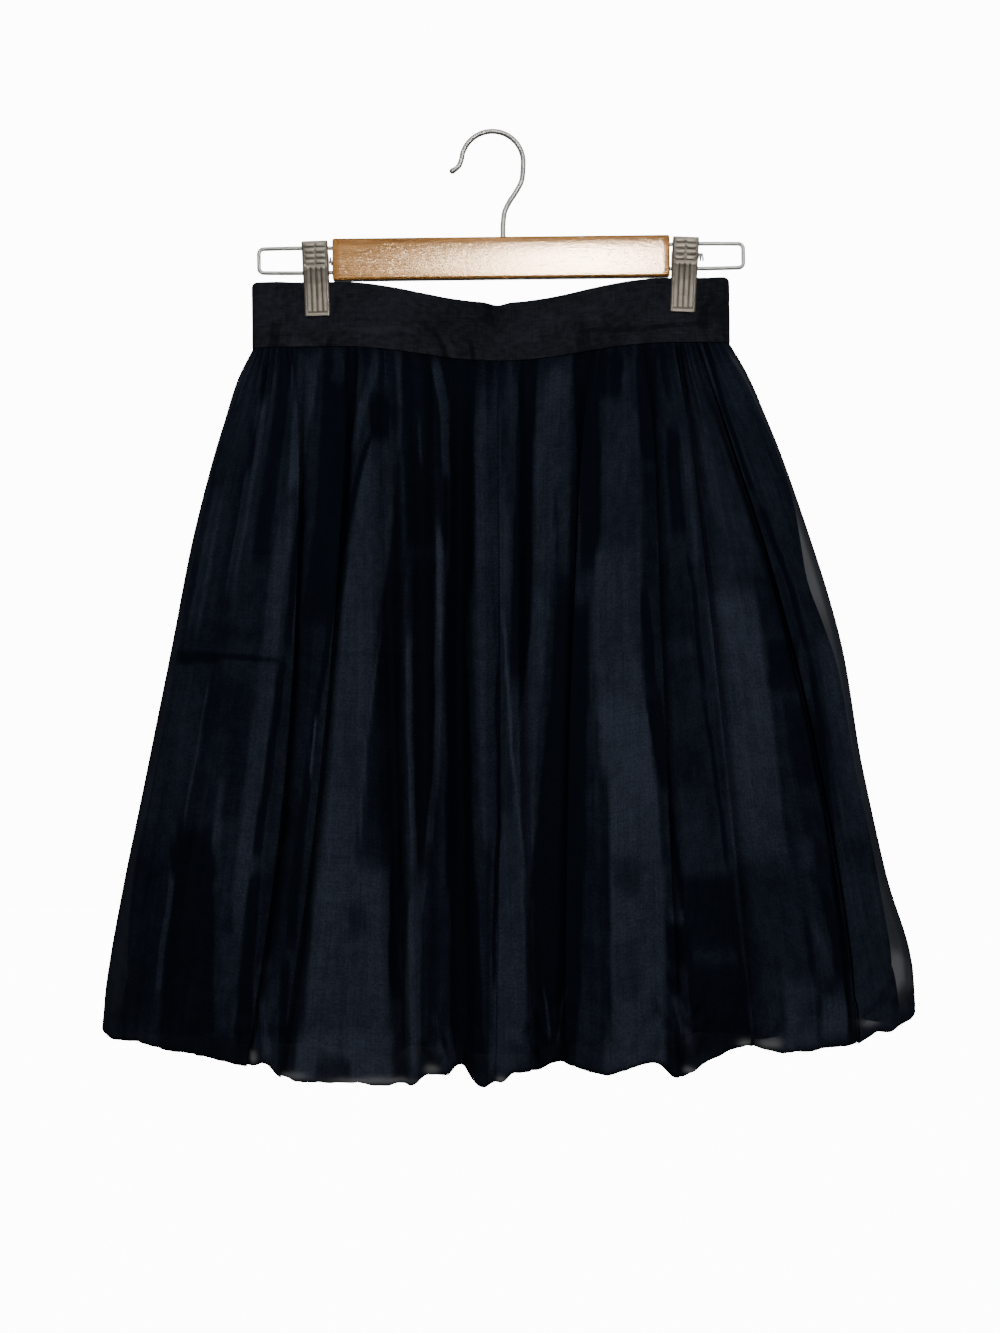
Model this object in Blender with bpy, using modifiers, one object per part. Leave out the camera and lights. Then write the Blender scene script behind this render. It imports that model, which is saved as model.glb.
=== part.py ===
"""A balloon skirt of sheer organza over a lining, held by two metal clips on a wooden hanger.

Metres, +Z up, the front facing -Y. The origin is the inside of the hook's crown, where a rail carries it.
The skirt is cut as a waistband, a pleated organza shell and a lining, each with a front and a back.
The organza turns under at the hem and runs up inside to the lining's lower edge, which makes the balloon.
"""

import math
from collections import namedtuple

import bmesh
import bpy
import numpy as np

FRONT, BACK = -1, 1
LEFT, RIGHT = -1, 1

# Cloth
ORGANZA_WALL = 0.0016
LINING_WALL = 0.0012
WAISTBAND_WALL = 0.0024
SEAM_GAP = 0.0003
SEAM_LEAN = 0.0003
SEAM_SQUARE = 0.0020

# Hanger
BAR_X = 0.0054
STEM_X = 0.0072
BAR_SIZE = (0.2355, 0.0130, 0.0290)
BAR_TOP = -0.0727
BAR_EDGE = 0.0032
BORE_CLEARANCE = 0.0003
LOOP_WIRE = 0.0020
LOOP_REACH = 0.0532
LOOP_SPACING = 0.0175
LOOP_CORNER = 0.0040
LOOP_SEATED = 0.0150
HOOK_WIRE = 0.0030
HOOK_RADIUS = 0.0217
HOOK_SEATED = 0.0180
HOOK_BALL = 0.0042
HOOK_CENTRE_Z = HOOK_WIRE / 2 - HOOK_RADIUS
CROWN_FROM, CROWN_TO = -8, 168

# Where the stem swings out to the crown's right side, and where the tip flares out below its left side.
Bend = namedtuple("Bend", "share x z")
SWING = (
    Bend(0.0, STEM_X, -0.0620),
    Bend(0.2, 0.0082, -0.0550),
    Bend(0.4, 0.0116, -0.0478),
    Bend(0.6, 0.0163, -0.0408),
    Bend(0.8, 0.0203, -0.0333),
    Bend(1.0, 0.0215, -0.0250),
)
FLARE = (
    Bend(0.0, -0.0215, -0.0175),
    Bend(0.5, -0.0235, -0.0222),
    Bend(1.0, -0.0280, -0.0256),
)

# Clips
CLIP_TOP = -0.0750
CLIP_WIDTH = 0.0175
CLIP_PLATE = 0.0008
CLIP_PIVOT_DOWN = 0.0128
CLIP_PIN = 0.0024
CLIP_SPRING = 0.0064
CLIP_SPRING_WIDTH = 0.0080
CLIP_LEAN = {LEFT: math.radians(1.5), RIGHT: math.radians(-2.8)}
CLIP_X = {LEFT: BAR_X - 0.1296, RIGHT: BAR_X + 0.1284}
CLIP_GRIP = 0.0150

# Waistband, measured down from the origin; the sag is at mid front and mid back, between the clips
BAND_TOP = -0.1025
BAND_TOP_SAG = 0.0217
BAND_SEAM = -0.1485
BAND_SEAM_SAG = 0.0130

# Hem
HEM_MIDDLE = -0.6530
HEM_SIDE_RISE = 0.0250
HEM_TURN = 0.0055
LINING_RISE = 0.0380
LINING_SHARE = 0.925
TURN_UP_INSET = 0.0140

# Pleats. Their depth and lap grow from nothing at the waist seam.
PLEAT_RETURN = 0.0060
PLEAT_LAP = 0.75
DEEPEST_PLEAT = 0.0125
NARROWEST = 0.0014
PLEAT_CLEARANCE = 0.0010
GATHER = 0.0013
GATHER_LENGTH = 0.12
SECTION_POINTS = 400

# The skirt's outline at shares of its drop: half-widths to the left and right, half-depths front and back.
Outline = namedtuple("Outline", "share left right front back roundness")
OUTLINE = (
    Outline(0.000, 0.1690, 0.1650, 0.018, 0.018, 2.2),
    Outline(0.040, 0.1790, 0.1755, 0.026, 0.024, 2.2),
    Outline(0.115, 0.1915, 0.1910, 0.034, 0.030, 2.3),
    Outline(0.260, 0.2108, 0.2150, 0.044, 0.038, 2.4),
    Outline(0.440, 0.2285, 0.2398, 0.051, 0.044, 2.5),
    Outline(0.640, 0.2485, 0.2545, 0.057, 0.048, 2.5),
    Outline(0.800, 0.2645, 0.2700, 0.061, 0.052, 2.6),
    Outline(0.930, 0.2755, 0.2870, 0.063, 0.054, 2.6),
    Outline(1.000, 0.2790, 0.2885, 0.061, 0.053, 2.6),
)

# How far the lining's side seams lie inside the organza's, left and right, at shares of the drop.
LiningSide = namedtuple("LiningSide", "share left right")
LINING_SIDES = (
    LiningSide(0.000, 0.0040, 0.0040),
    LiningSide(0.020, 0.0064, 0.0064),
    LiningSide(0.060, 0.0052, 0.0052),
    LiningSide(0.120, 0.0034, 0.0036),
    LiningSide(0.245, 0.0034, 0.0036),
    LiningSide(0.290, 0.0036, 0.0070),
    LiningSide(0.350, 0.0038, 0.0110),
    LiningSide(0.410, 0.0040, 0.0088),
    LiningSide(0.470, 0.0045, 0.0058),
    LiningSide(0.600, 0.0052, 0.0042),
    LiningSide(0.800, 0.0062, 0.0050),
    LiningSide(0.925, 0.0140, 0.0140),
)

# How deep the pleats are at shares of the drop, next to their full depth.
Fullness = namedtuple("Fullness", "share pleats")
FULLNESS = (
    Fullness(0.00, 0.00),
    Fullness(0.04, 0.38),
    Fullness(0.12, 0.80),
    Fullness(0.30, 1.00),
    Fullness(0.70, 1.00),
    Fullness(1.00, 0.65),
)

# The valleys between pleats: where each crosses the waist, the middle and the hem, how deep it is, and which
# way the cloth laps over it: 1 is the pleat on its left, -1 is the one on its right, 0 is an open soft fold.
# The notch is how far the hem is drawn up there.
Valley = namedtuple("Valley", "waist middle hem depth laps notch")
VALLEYS = {
    FRONT: (
        Valley(-0.1575, -0.1985, -0.2405, 0.0070, 1, 0.002),
        Valley(-0.1390, -0.1450, -0.1750, 0.0125, 1, 0.006),
        Valley(-0.1030, -0.1180, -0.1510, 0.0115, 1, 0.003),
        Valley(-0.0760, -0.0730, -0.0690, 0.0120, 0, 0.002),
        Valley(-0.0520, -0.0507, -0.0520, 0.0090, 0, 0.004),
        Valley(-0.0240, -0.0262, -0.0270, 0.0130, 0, 0.009),
        Valley(0.0010, 0.0011, -0.0050, 0.0060, -1, 0.003),
        Valley(0.0190, 0.0130, 0.0190, 0.0090, 1, 0.004),
        Valley(0.0670, 0.0560, 0.0450, 0.0130, -1, 0.008),
        Valley(0.1060, 0.1068, 0.1180, 0.0120, 1, 0.009),
        Valley(0.1270, 0.1446, 0.1700, 0.0090, 1, 0.012),
        Valley(0.1400, 0.2080, 0.2460, 0.0110, -1, 0.005),
    ),
    BACK: (
        Valley(-0.1500, -0.1960, -0.2350, 0.0100, 1, 0.006),
        Valley(-0.1180, -0.1500, -0.1900, 0.0090, 1, 0.004),
        Valley(-0.0860, -0.1020, -0.1290, 0.0125, 1, 0.008),
        Valley(-0.0590, -0.0660, -0.0770, 0.0110, 0, 0.003),
        Valley(-0.0260, -0.0250, -0.0330, 0.0130, -1, 0.007),
        Valley(0.0080, 0.0140, 0.0120, 0.0080, 0, 0.003),
        Valley(0.0390, 0.0530, 0.0680, 0.0125, -1, 0.008),
        Valley(0.0780, 0.0960, 0.1130, 0.0100, 1, 0.004),
        Valley(0.1130, 0.1440, 0.1730, 0.0120, -1, 0.007),
        Valley(0.1480, 0.1980, 0.2400, 0.0090, -1, 0.005),
    ),
}
SIDE_SEAM_DEPTH = 0.0015
MIDDLE_SHARE = 0.45

ORGANZA_SHARES = (0.0, 0.015, 0.05, 0.11, 0.20, 0.33, 0.48, 0.64, 0.79, 0.92, 1.0)
TURN_ANGLES = (50, 90, 130, 180)
TURN_UP_SHARES = (0.5, 1.0)
LINING_SHARES = (0.0, 0.014, 0.055, 0.14, 0.32, 0.55, 0.78, 1.0)
LINING_COLUMNS = 30
BAND_ROWS = (0.0, 0.28, 0.56, 0.80, 1.0)
BAND_COLUMNS = 60

# A clip's jaw, down from its top: how far its outer face stands out, and how far its sides fold back.
Jaw = namedtuple("Jaw", "down out fold")
JAW = (
    Jaw(0.0000, 0.0096, 0.0010),
    Jaw(0.0030, 0.0094, 0.0026),
    Jaw(0.0085, 0.0086, 0.0034),
    Jaw(0.0100, 0.0083, 0.0098),
    Jaw(0.0184, 0.0070, 0.0084),
    Jaw(0.0196, 0.0067, 0.0026),
    Jaw(0.0290, 0.0048, 0.0012),
    Jaw(0.0400, 0.0037, 0.0003),
    Jaw(0.0515, 0.0037, 0.0003),
)
JAW_FACE_COLUMNS = 4


def smooth(at, table, name):
    """The named column of a table at these shares, on a cubic through its rows."""
    share = np.array([row.share for row in table])
    value = np.array([getattr(row, name) for row in table])
    slope = np.gradient(value, share)
    at = np.clip(at, share[0], share[-1])
    i = np.clip(np.searchsorted(share, at, side="right") - 1, 0, len(share) - 2)
    width = share[i + 1] - share[i]
    t = (at - share[i]) / width
    return (
        (2 * t**3 - 3 * t**2 + 1) * value[i]
        + (t**3 - 2 * t**2 + t) * width * slope[i]
        + (3 * t**2 - 2 * t**3) * value[i + 1]
        + (t**3 - t**2) * width * slope[i + 1]
    )


def ease(t):
    """0 before 0, 1 after 1, and a smooth S between."""
    t = np.clip(t, 0.0, 1.0)
    return t * t * (3 - 2 * t)


def between_clips(x):
    """1 midway between the clips, 0 at each clip and past it."""
    middle = (CLIP_X[LEFT] + CLIP_X[RIGHT]) / 2
    half = (CLIP_X[RIGHT] - CLIP_X[LEFT]) / 2 - CLIP_GRIP
    return np.cos(np.pi / 2 * np.clip((x - middle) / half, -1, 1)) ** 2


def past_clips(x):
    """0 at a clip, 1 at 12 mm outside its grip, where the folded end of the waistband opens again."""
    outside = np.maximum(CLIP_X[LEFT] - x, x - CLIP_X[RIGHT]) - CLIP_GRIP
    return ease(outside / 0.012)


def band_top(x):
    return BAND_TOP - BAND_TOP_SAG * between_clips(x)


def waist_seam(x):
    return BAND_SEAM - BAND_SEAM_SAG * between_clips(x)


def band_depth(x, down):
    """Half the waistband's depth at x, by the share down from its top edge to the seam."""
    pinched = WAISTBAND_WALL / 2 + SEAM_GAP / 2
    at_clip = pinched + (0.0075 - pinched) * ease((down - 0.56) / 0.44)
    at_middle = 0.0265 - 0.0065 * down
    at_end = 0.0050 + 0.0035 * down
    depth = at_clip + (at_middle - at_clip) * between_clips(x)
    return depth + np.maximum(at_end - at_clip, 0) * past_clips(x)


class Section:
    """One level of the cloth, seen from above: half of a closed curve from the left side seam to the right.

    The depth at x is a superellipse of the outline's sizes, and near the waist it changes to the waistband's.
    Points are found by their length along the curve, so that pleats keep their width round the sides.
    """

    def __init__(self, side, share, inset=0.0, waist=1.0, sides=(0.0, 0.0)):
        left = smooth(share, OUTLINE, "left") - sides[0]
        right = smooth(share, OUTLINE, "right") - sides[1]
        depth = smooth(share, OUTLINE, "front" if side == FRONT else "back")
        power = smooth(share, OUTLINE, "roundness")
        across = -np.cos(np.linspace(0, np.pi, SECTION_POINTS))
        x = np.where(across < 0, across * left, across * right)
        full = (depth - inset) * (1 - np.abs(across) ** power) ** (1 / power)
        at_waist = np.maximum(band_depth(x, waist) - inset, NARROWEST) * np.sqrt(1 - np.abs(across) ** 14)
        out = at_waist + (np.maximum(full, 0) - at_waist) * ease(share / 0.13)
        self.side = side
        self.x, self.y = x, side * out
        step = np.hypot(np.diff(self.x), np.diff(self.y))
        self.along = np.concatenate([[0], np.cumsum(step)])
        self.length = self.along[-1]

    def along_at(self, x):
        return np.interp(x, self.x, self.along)

    def clear_of(self, x, y):
        """How far the curve is from each of these points."""
        return np.hypot(x[:, None] - self.x, y[:, None] - self.y).min(axis=1)

    def point(self, along, inward):
        """The x and y of points this far along, moved in from the curve by inward."""
        ahead, behind = along + 0.0015, along - 0.0015
        tangent_x = np.interp(ahead, self.along, self.x) - np.interp(behind, self.along, self.x)
        tangent_y = np.interp(ahead, self.along, self.y) - np.interp(behind, self.along, self.y)
        size = np.hypot(tangent_x, tangent_y)
        normal_x = self.side * -tangent_y / size
        normal_y = self.side * tangent_x / size
        x = np.interp(along, self.along, self.x) - normal_x * inward
        y = np.interp(along, self.along, self.y) - normal_y * inward
        return x, y


def valley_lines(side, share):
    """x of each valley at a share of the drop, on a parabola through waist, middle and hem."""
    rows = np.array([(v.waist, v.middle, v.hem) for v in VALLEYS[side]])
    waist, middle, hem = rows.T
    curve = ((hem - waist) * MIDDLE_SHARE - (middle - waist)) / (MIDDLE_SHARE - MIDDLE_SHARE**2)
    return waist + (hem - waist - curve) * share + curve * share**2


def pleat_columns(side):
    """Each column's pleat and its place in it, from 0 at the left valley to 1 at the right one."""
    laps = [0] + [v.laps for v in VALLEYS[side]] + [0]
    found = []
    for pleat in range(len(laps) - 1):
        sharp_left, sharp_right = laps[pleat] == LEFT, laps[pleat + 1] == RIGHT
        places = (0.0, 0.10 if sharp_left else 0.20, 0.32, 0.60, 0.78, 0.90 if sharp_right else 0.92)
        found += [(pleat, place) for place in places]
    found.append((len(laps) - 2, 1.0))
    return np.array([p for p, _ in found]), np.array([q for _, q in found])


def pleated(side, share, pleat, place, section, strength):
    """How far along the section each column lies and how far in, by its pleat and its place in it.

    A pleat rises from its left valley, runs level and falls to its right valley. Where it laps over a
    valley it falls within PLEAT_RETURN and leans over it by a share of the valley's depth.
    """
    valleys = VALLEYS[side]
    lines = section.along_at(valley_lines(side, share))
    lines = np.concatenate([[0], lines, [section.length]])
    depth = np.array([SIDE_SEAM_DEPTH] + [v.depth for v in valleys] + [SIDE_SEAM_DEPTH]) * strength
    laps = np.array([0] + [v.laps for v in valleys] + [0])
    width = lines[pleat + 1] - lines[pleat]
    sharp_left, sharp_right = laps[pleat] == LEFT, laps[pleat + 1] == RIGHT
    short = np.clip(PLEAT_RETURN / width, 0.05, 0.30)
    rise = np.where(sharp_left, short, 0.5)
    fall = np.where(sharp_right, short, 0.5)
    up = np.sin(np.pi / 2 * np.clip(place / rise, 0, 1)) ** 2
    down = np.sin(np.pi / 2 * np.clip((1 - place) / fall, 0, 1)) ** 2
    inward = depth[pleat] * (1 - up) + depth[pleat + 1] * (1 - down)
    lean_left = sharp_left * depth[pleat] * up * (1 - place) ** 2
    lean_right = sharp_right * depth[pleat + 1] * down * place**2
    along = lines[pleat] + width * place + PLEAT_LAP * (lean_right - lean_left)
    return along, inward


def notches(side, pleat, place):
    """How far the hem is drawn up at each column: by its valleys' notches, and not at all mid pleat."""
    notch = np.array([0.002] + [v.notch for v in VALLEYS[side]] + [0.002])
    left = np.clip(1 - place / 0.30, 0, 1) ** 1.5
    right = np.clip(1 - (1 - place) / 0.30, 0, 1) ** 1.5
    return notch[pleat] * left + notch[pleat + 1] * right


def hem_line(x):
    return HEM_MIDDLE + HEM_SIDE_RISE * (x / 0.285) ** 2


def within_seams(section, along):
    """These lengths kept off the side seams: half a gap at the ends, and room for a square edge next to them."""
    along = np.clip(along, SEAM_SQUARE, section.length - SEAM_SQUARE)
    along[0], along[-1] = 0.0, section.length
    return along


def squared(row, side):
    """The row with its wall square to the side seams, half a gap from them, so that front and back don't meet."""
    for end, beside in ((0, 1), (-1, -2)):
        row[end, 1] = side * SEAM_GAP / 2
        row[beside] = row[end]
        row[beside, 1] = side * SEAM_SQUARE
    return row


def organza_row(side, share, columns, section, strength, moved_in=0.0):
    """x, y of one row of the shell. No pleat goes deeper than the room over the lining leaves."""
    pleat, place = columns
    along, inward = pleated(side, share, pleat, place, section, strength)
    along = within_seams(section, along)
    x, y = section.point(along, 0.0)
    if share <= LINING_SHARE:
        lining = lining_section(side, share)
        room = lining.clear_of(x, y) - (ORGANZA_WALL + LINING_WALL) / 2 - PLEAT_CLEARANCE
        folds = np.where(np.arange(len(pleat)) % 2 == 0, GATHER, -GATHER)
        inward = inward + folds * ease(share / 0.015) * (1 - ease(share / GATHER_LENGTH))
        inward = np.minimum(inward, np.maximum(room, 0))
    inward[[0, -1]] = 0.0
    return section.point(along, inward + moved_in)


def organza_points(side):
    """Rows of points down the outside, round the turn at the hem and up inside to the lining."""
    columns = pleat_columns(side)
    bottom = Section(side, 1.0)
    strength = smooth(1.0, FULLNESS, "pleats")
    seam_x, _ = organza_row(side, 0.0, columns, Section(side, 0.0), 0.0)
    hem_x, _ = organza_row(side, 1.0, columns, bottom, strength)
    head = waist_seam(seam_x) - SEAM_GAP - SEAM_LEAN
    foot = hem_line(hem_x) + notches(side, *columns)
    rows = []
    for share in ORGANZA_SHARES:
        x, y = organza_row(side, share, columns, Section(side, share), smooth(share, FULLNESS, "pleats"))
        rows.append((x, y, head + (foot + HEM_TURN - head) * share))
    for angle in np.radians(TURN_ANGLES):
        turned = (1 - np.cos(angle)) / 2
        x, y = organza_row(side, 1.0, columns, bottom, strength * (1 - 0.6 * turned), 2 * HEM_TURN * turned)
        rows.append((x, y, foot + HEM_TURN * (1 - np.sin(angle))))
    for up in TURN_UP_SHARES:
        share = 1 - (1 - LINING_SHARE) * up
        inset = 2 * HEM_TURN * (1 - up) + TURN_UP_INSET * up
        x, y = organza_row(side, 1.0, columns, Section(side, share), strength * 0.4 * (1 - up), inset)
        start = foot + HEM_TURN
        rows.append((x, y, start + (join_line(x) - SEAM_GAP - start) * up))
    return np.array([squared(np.stack(row, axis=1), side) for row in rows])


def join_line(x):
    """The height of the seam where the turned-up organza meets the lining."""
    return HEM_MIDDLE + LINING_RISE + HEM_SIDE_RISE * (x / 0.262) ** 2


def lining_inset(share):
    """How far the lining lies inside the organza's outline, so that it clears the deepest pleat."""
    walls = (ORGANZA_WALL + LINING_WALL) / 2
    below = share + 0.02 * ease(share / 0.012)
    needed = walls + PLEAT_CLEARANCE + DEEPEST_PLEAT * smooth(below, FULLNESS, "pleats")
    return needed + (TURN_UP_INSET - needed) * ease((share - 0.80) / 0.125)


def lining_section(side, share):
    """The organza's outline moved in: at front and back to clear the pleats, and at the side seams by the table."""
    sides = (smooth(share, LINING_SIDES, "left"), smooth(share, LINING_SIDES, "right"))
    return Section(side, share, lining_inset(share), sides=sides)


def lining_points(side):
    rows = []
    ends = -np.cos(np.linspace(0, np.pi, LINING_COLUMNS + 1)) / 2
    even = np.linspace(-0.5, 0.5, LINING_COLUMNS + 1)
    places = 0.5 + (ends + even) / 2
    for part in LINING_SHARES:
        share = part * LINING_SHARE
        section = lining_section(side, share)
        x, y = section.point(within_seams(section, places * section.length), 0.0)
        if part == 0:
            head = waist_seam(x) - SEAM_GAP - SEAM_LEAN
        z = head + (join_line(x) + SEAM_GAP - head) * part
        rows.append(squared(np.stack([x, y, z], axis=1), side))
    return np.array(rows)


def waistband_points(side):
    rows = []
    places = np.linspace(0, 1, BAND_COLUMNS + 1)
    for down in BAND_ROWS:
        section = Section(side, 0.0, waist=down)
        x, y = section.point(within_seams(section, places * section.length), 0.0)
        z = band_top(x) + (waist_seam(x) - band_top(x)) * down
        rows.append(squared(np.stack([x, y, z], axis=1), side))
    return np.array(rows)


def collection(name):
    made = bpy.data.collections.new(name)
    bpy.context.scene.collection.children.link(made)
    return made


def material(name, colour, roughness, metallic=0.0):
    made = bpy.data.materials.new(name)
    made.use_nodes = True
    shader = made.node_tree.nodes["Principled BSDF"]
    shader.inputs["Base Color"].default_value = (*colour, 1.0)
    shader.inputs["Roughness"].default_value = roughness
    shader.inputs["Metallic"].default_value = metallic
    return made


def add(name, data, parts, finish=None):
    made = bpy.data.objects.new(name, data)
    if finish:
        data.materials.append(finish)
    parts.objects.link(made)
    return made


def sheet(name, points, wall, parts, finish):
    """A grid of points, rows down and columns across, as an open surface that Solidify gives its wall."""
    rows, columns = points.shape[:2]
    corner = np.arange(rows * columns).reshape(rows, columns)
    faces = np.stack([corner[:-1, :-1], corner[1:, :-1], corner[1:, 1:], corner[:-1, 1:]], axis=-1)
    mesh = bpy.data.meshes.new(name)
    mesh.from_pydata(points.reshape(-1, 3).tolist(), [], faces.reshape(-1, 4).tolist())
    made = add(name, mesh, parts, finish)
    solid = made.modifiers.new("Wall", "SOLIDIFY")
    solid.thickness = wall
    solid.offset = 0.0
    return made


def box(name, size, parts, finish=None):
    made = add(name, bpy.data.meshes.new(name), parts, finish)
    shape = bmesh.new()
    bmesh.ops.create_cube(shape, size=1.0)
    bmesh.ops.scale(shape, vec=size, verts=shape.verts)
    shape.to_mesh(made.data)
    shape.free()
    return made


def rod(name, radius, length, turned, parts, finish=None, sides=16):
    """A round bar along Z, turned to lie along X or Z."""
    made = add(name, bpy.data.meshes.new(name), parts, finish)
    shape = bmesh.new()
    bmesh.ops.create_cone(
        shape, cap_ends=True, segments=sides, radius1=radius, radius2=radius, depth=length
    )
    shape.to_mesh(made.data)
    shape.free()
    made.rotation_euler = turned
    return made


def wire(name, points, radius, parts, finish):
    """A bent wire through these points, with filled ends."""
    curve = bpy.data.curves.new(name, "CURVE")
    curve.dimensions = "3D"
    curve.bevel_depth = radius
    curve.bevel_resolution = 2
    curve.use_fill_caps = True
    spline = curve.splines.new("POLY")
    spline.points.add(len(points) - 1)
    for point, place in zip(spline.points, points):
        point.co = (*place, 1.0)
    return add(name, curve, parts, finish)


def cut(target, cutter):
    """Takes the cutter out of the target, and keeps it as a hidden helper."""
    cutter.hide_render = True
    cutter.display_type = "WIRE"
    hole = target.modifiers.new("Bore", "BOOLEAN")
    hole.operation = "DIFFERENCE"
    hole.object = cutter


def make_bar(parts, cutters, wood):
    """The wooden bar, bored at each end for the loops and on top for the hook."""
    bar = box("hanger_bar", BAR_SIZE, parts, wood)
    bar.location = (BAR_X, 0, BAR_TOP - BAR_SIZE[2] / 2)
    edge = bar.modifiers.new("Rounded edges", "BEVEL")
    edge.width = BAR_EDGE
    edge.segments = 3
    for side in (LEFT, RIGHT):
        for level in (-LOOP_SPACING / 2, LOOP_SPACING / 2):
            bore = rod("loop_bore", LOOP_WIRE / 2 + BORE_CLEARANCE, 2 * (LOOP_SEATED + 0.001),
                       (0, math.pi / 2, 0), cutters, sides=12)
            bore.location = (BAR_X + side * BAR_SIZE[0] / 2, 0, BAR_TOP - BAR_SIZE[2] / 2 + level)
            cut(bar, bore)
    bore = rod("hook_bore", HOOK_WIRE / 2 + BORE_CLEARANCE, 2 * (HOOK_SEATED + 0.001), (0, 0, 0), cutters, sides=12)
    bore.location = (STEM_X, 0, BAR_TOP)
    cut(bar, bore)


def make_loop(side, parts, steel):
    """A long flat loop of wire from two bores in the bar's end, round the clip and back."""
    middle = BAR_TOP - BAR_SIZE[2] / 2
    start = BAR_SIZE[0] / 2 - LOOP_SEATED
    end = BAR_SIZE[0] / 2 + LOOP_REACH - LOOP_WIRE / 2 - LOOP_CORNER
    half = LOOP_SPACING / 2 - LOOP_CORNER
    path = [(start, LOOP_SPACING / 2), ((start + end) / 2, LOOP_SPACING / 2)]
    for level, angles in ((half, (90, 60, 30, 0)), (-half, (0, -30, -60, -90))):
        for angle in np.radians(angles):
            path.append((end + LOOP_CORNER * math.cos(angle), level + LOOP_CORNER * math.sin(angle)))
    path += [((start + end) / 2, -LOOP_SPACING / 2), (start, -LOOP_SPACING / 2)]
    points = [(BAR_X + side * x, 0.0, middle + z) for x, z in path]
    wire("hanger_loop_left" if side == LEFT else "hanger_loop_right", points, LOOP_WIRE / 2, parts, steel)


def hook_path():
    """Up from the stem's bore, out through the swing, round the crown and down to the flared tip."""
    swing, flare = np.linspace(0, 1, 11), np.linspace(0, 1, 5)
    around = np.radians(np.linspace(CROWN_FROM, CROWN_TO, 19))
    x = [[STEM_X, STEM_X], smooth(swing, SWING, "x"), HOOK_RADIUS * np.cos(around), smooth(flare, FLARE, "x")]
    z = [[BAR_TOP - HOOK_SEATED, BAR_TOP], smooth(swing, SWING, "z"),
         HOOK_CENTRE_Z + HOOK_RADIUS * np.sin(around), smooth(flare, FLARE, "z")]
    return [(px, 0.0, pz) for px, pz in zip(np.concatenate(x), np.concatenate(z))]


def make_hook(parts, cutters, steel):
    """The bent wire hook, with the ball at its tip joined on."""
    points = hook_path()
    curve = wire("hook_wire", points, HOOK_WIRE / 2, cutters, steel)
    bpy.context.view_layer.update()
    graph = bpy.context.evaluated_depsgraph_get()
    mesh = bpy.data.meshes.new_from_object(curve.evaluated_get(graph))
    shape = bmesh.new()
    shape.from_mesh(mesh)
    bmesh.ops.remove_doubles(shape, verts=shape.verts, dist=0.00001)
    bmesh.ops.recalc_face_normals(shape, faces=shape.faces)
    shape.to_mesh(mesh)
    shape.free()
    hook = add("hanger_hook", mesh, parts)
    bpy.data.objects.remove(curve)
    ball = add("hook_ball", bpy.data.meshes.new("hook_ball"), cutters)
    shape = bmesh.new()
    bmesh.ops.create_uvsphere(shape, u_segments=12, v_segments=8, radius=HOOK_BALL / 2)
    shape.to_mesh(ball.data)
    shape.free()
    ball.location = points[-1]
    ball.hide_render = True
    ball.display_type = "WIRE"
    joined = hook.modifiers.new("Ball tip", "BOOLEAN")
    joined.operation = "UNION"
    joined.object = ball


def jaw_points(face, half_width):
    """A jaw's middle surface: sides folded back towards the pin, and a flat face between them."""
    across = np.linspace(-half_width, half_width, JAW_FACE_COLUMNS + 1)
    rows = []
    for row in JAW:
        out = row.out - CLIP_PLATE / 2
        down = CLIP_PIVOT_DOWN - row.down
        line = [(-half_width, face * (out - row.fold - 0.0004), down)]
        line += [(x, face * out, down) for x in across]
        line += [(half_width, face * (out - row.fold - 0.0004), down)]
        rows.append(line)
    return np.array(rows)


def make_clip(side, parts, steel):
    """Two sheet steel jaws on a pin, with a spring round the pin. The wires of the loop pass between."""
    name = "clip_left" if side == LEFT else "clip_right"
    pivot = bpy.data.objects.new(name, None)
    pivot.location = (CLIP_X[side], 0, CLIP_TOP - CLIP_PIVOT_DOWN)
    pivot.rotation_euler = (0, -CLIP_LEAN[side], 0)
    parts.objects.link(pivot)
    outer = CLIP_WIDTH / 2 - CLIP_PLATE / 2
    inner = outer - CLIP_PLATE - 0.0003
    pieces = [
        sheet(name + "_front_jaw", jaw_points(FRONT, outer), CLIP_PLATE, parts, steel),
        sheet(name + "_back_jaw", jaw_points(BACK, inner), CLIP_PLATE, parts, steel),
        rod(name + "_pin", CLIP_PIN / 2, 2 * (inner - CLIP_PLATE / 2 - 0.0003), (0, math.pi / 2, 0), parts, steel, 12),
        make_spring(name + "_spring", parts, steel),
    ]
    for piece in pieces:
        piece.parent = pivot


def make_spring(name, parts, steel):
    """The spring as one ring round the pin: a square profile turned about it."""
    inner, outer = CLIP_PIN / 2 + 0.0003, CLIP_SPRING / 2
    half = CLIP_SPRING_WIDTH / 2
    profile = [(outer, 0, half), (outer, 0, -half), (inner, 0, -half), (inner, 0, half)]
    mesh = bpy.data.meshes.new(name)
    mesh.from_pydata(profile, [(0, 1), (1, 2), (2, 3), (3, 0)], [])
    made = add(name, mesh, parts, steel)
    made.rotation_euler = (0, math.pi / 2, 0)
    turn = made.modifiers.new("Turned", "SCREW")
    turn.steps = turn.render_steps = 14
    turn.use_merge_vertices = True
    turn.merge_threshold = 0.00001
    return made


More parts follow.
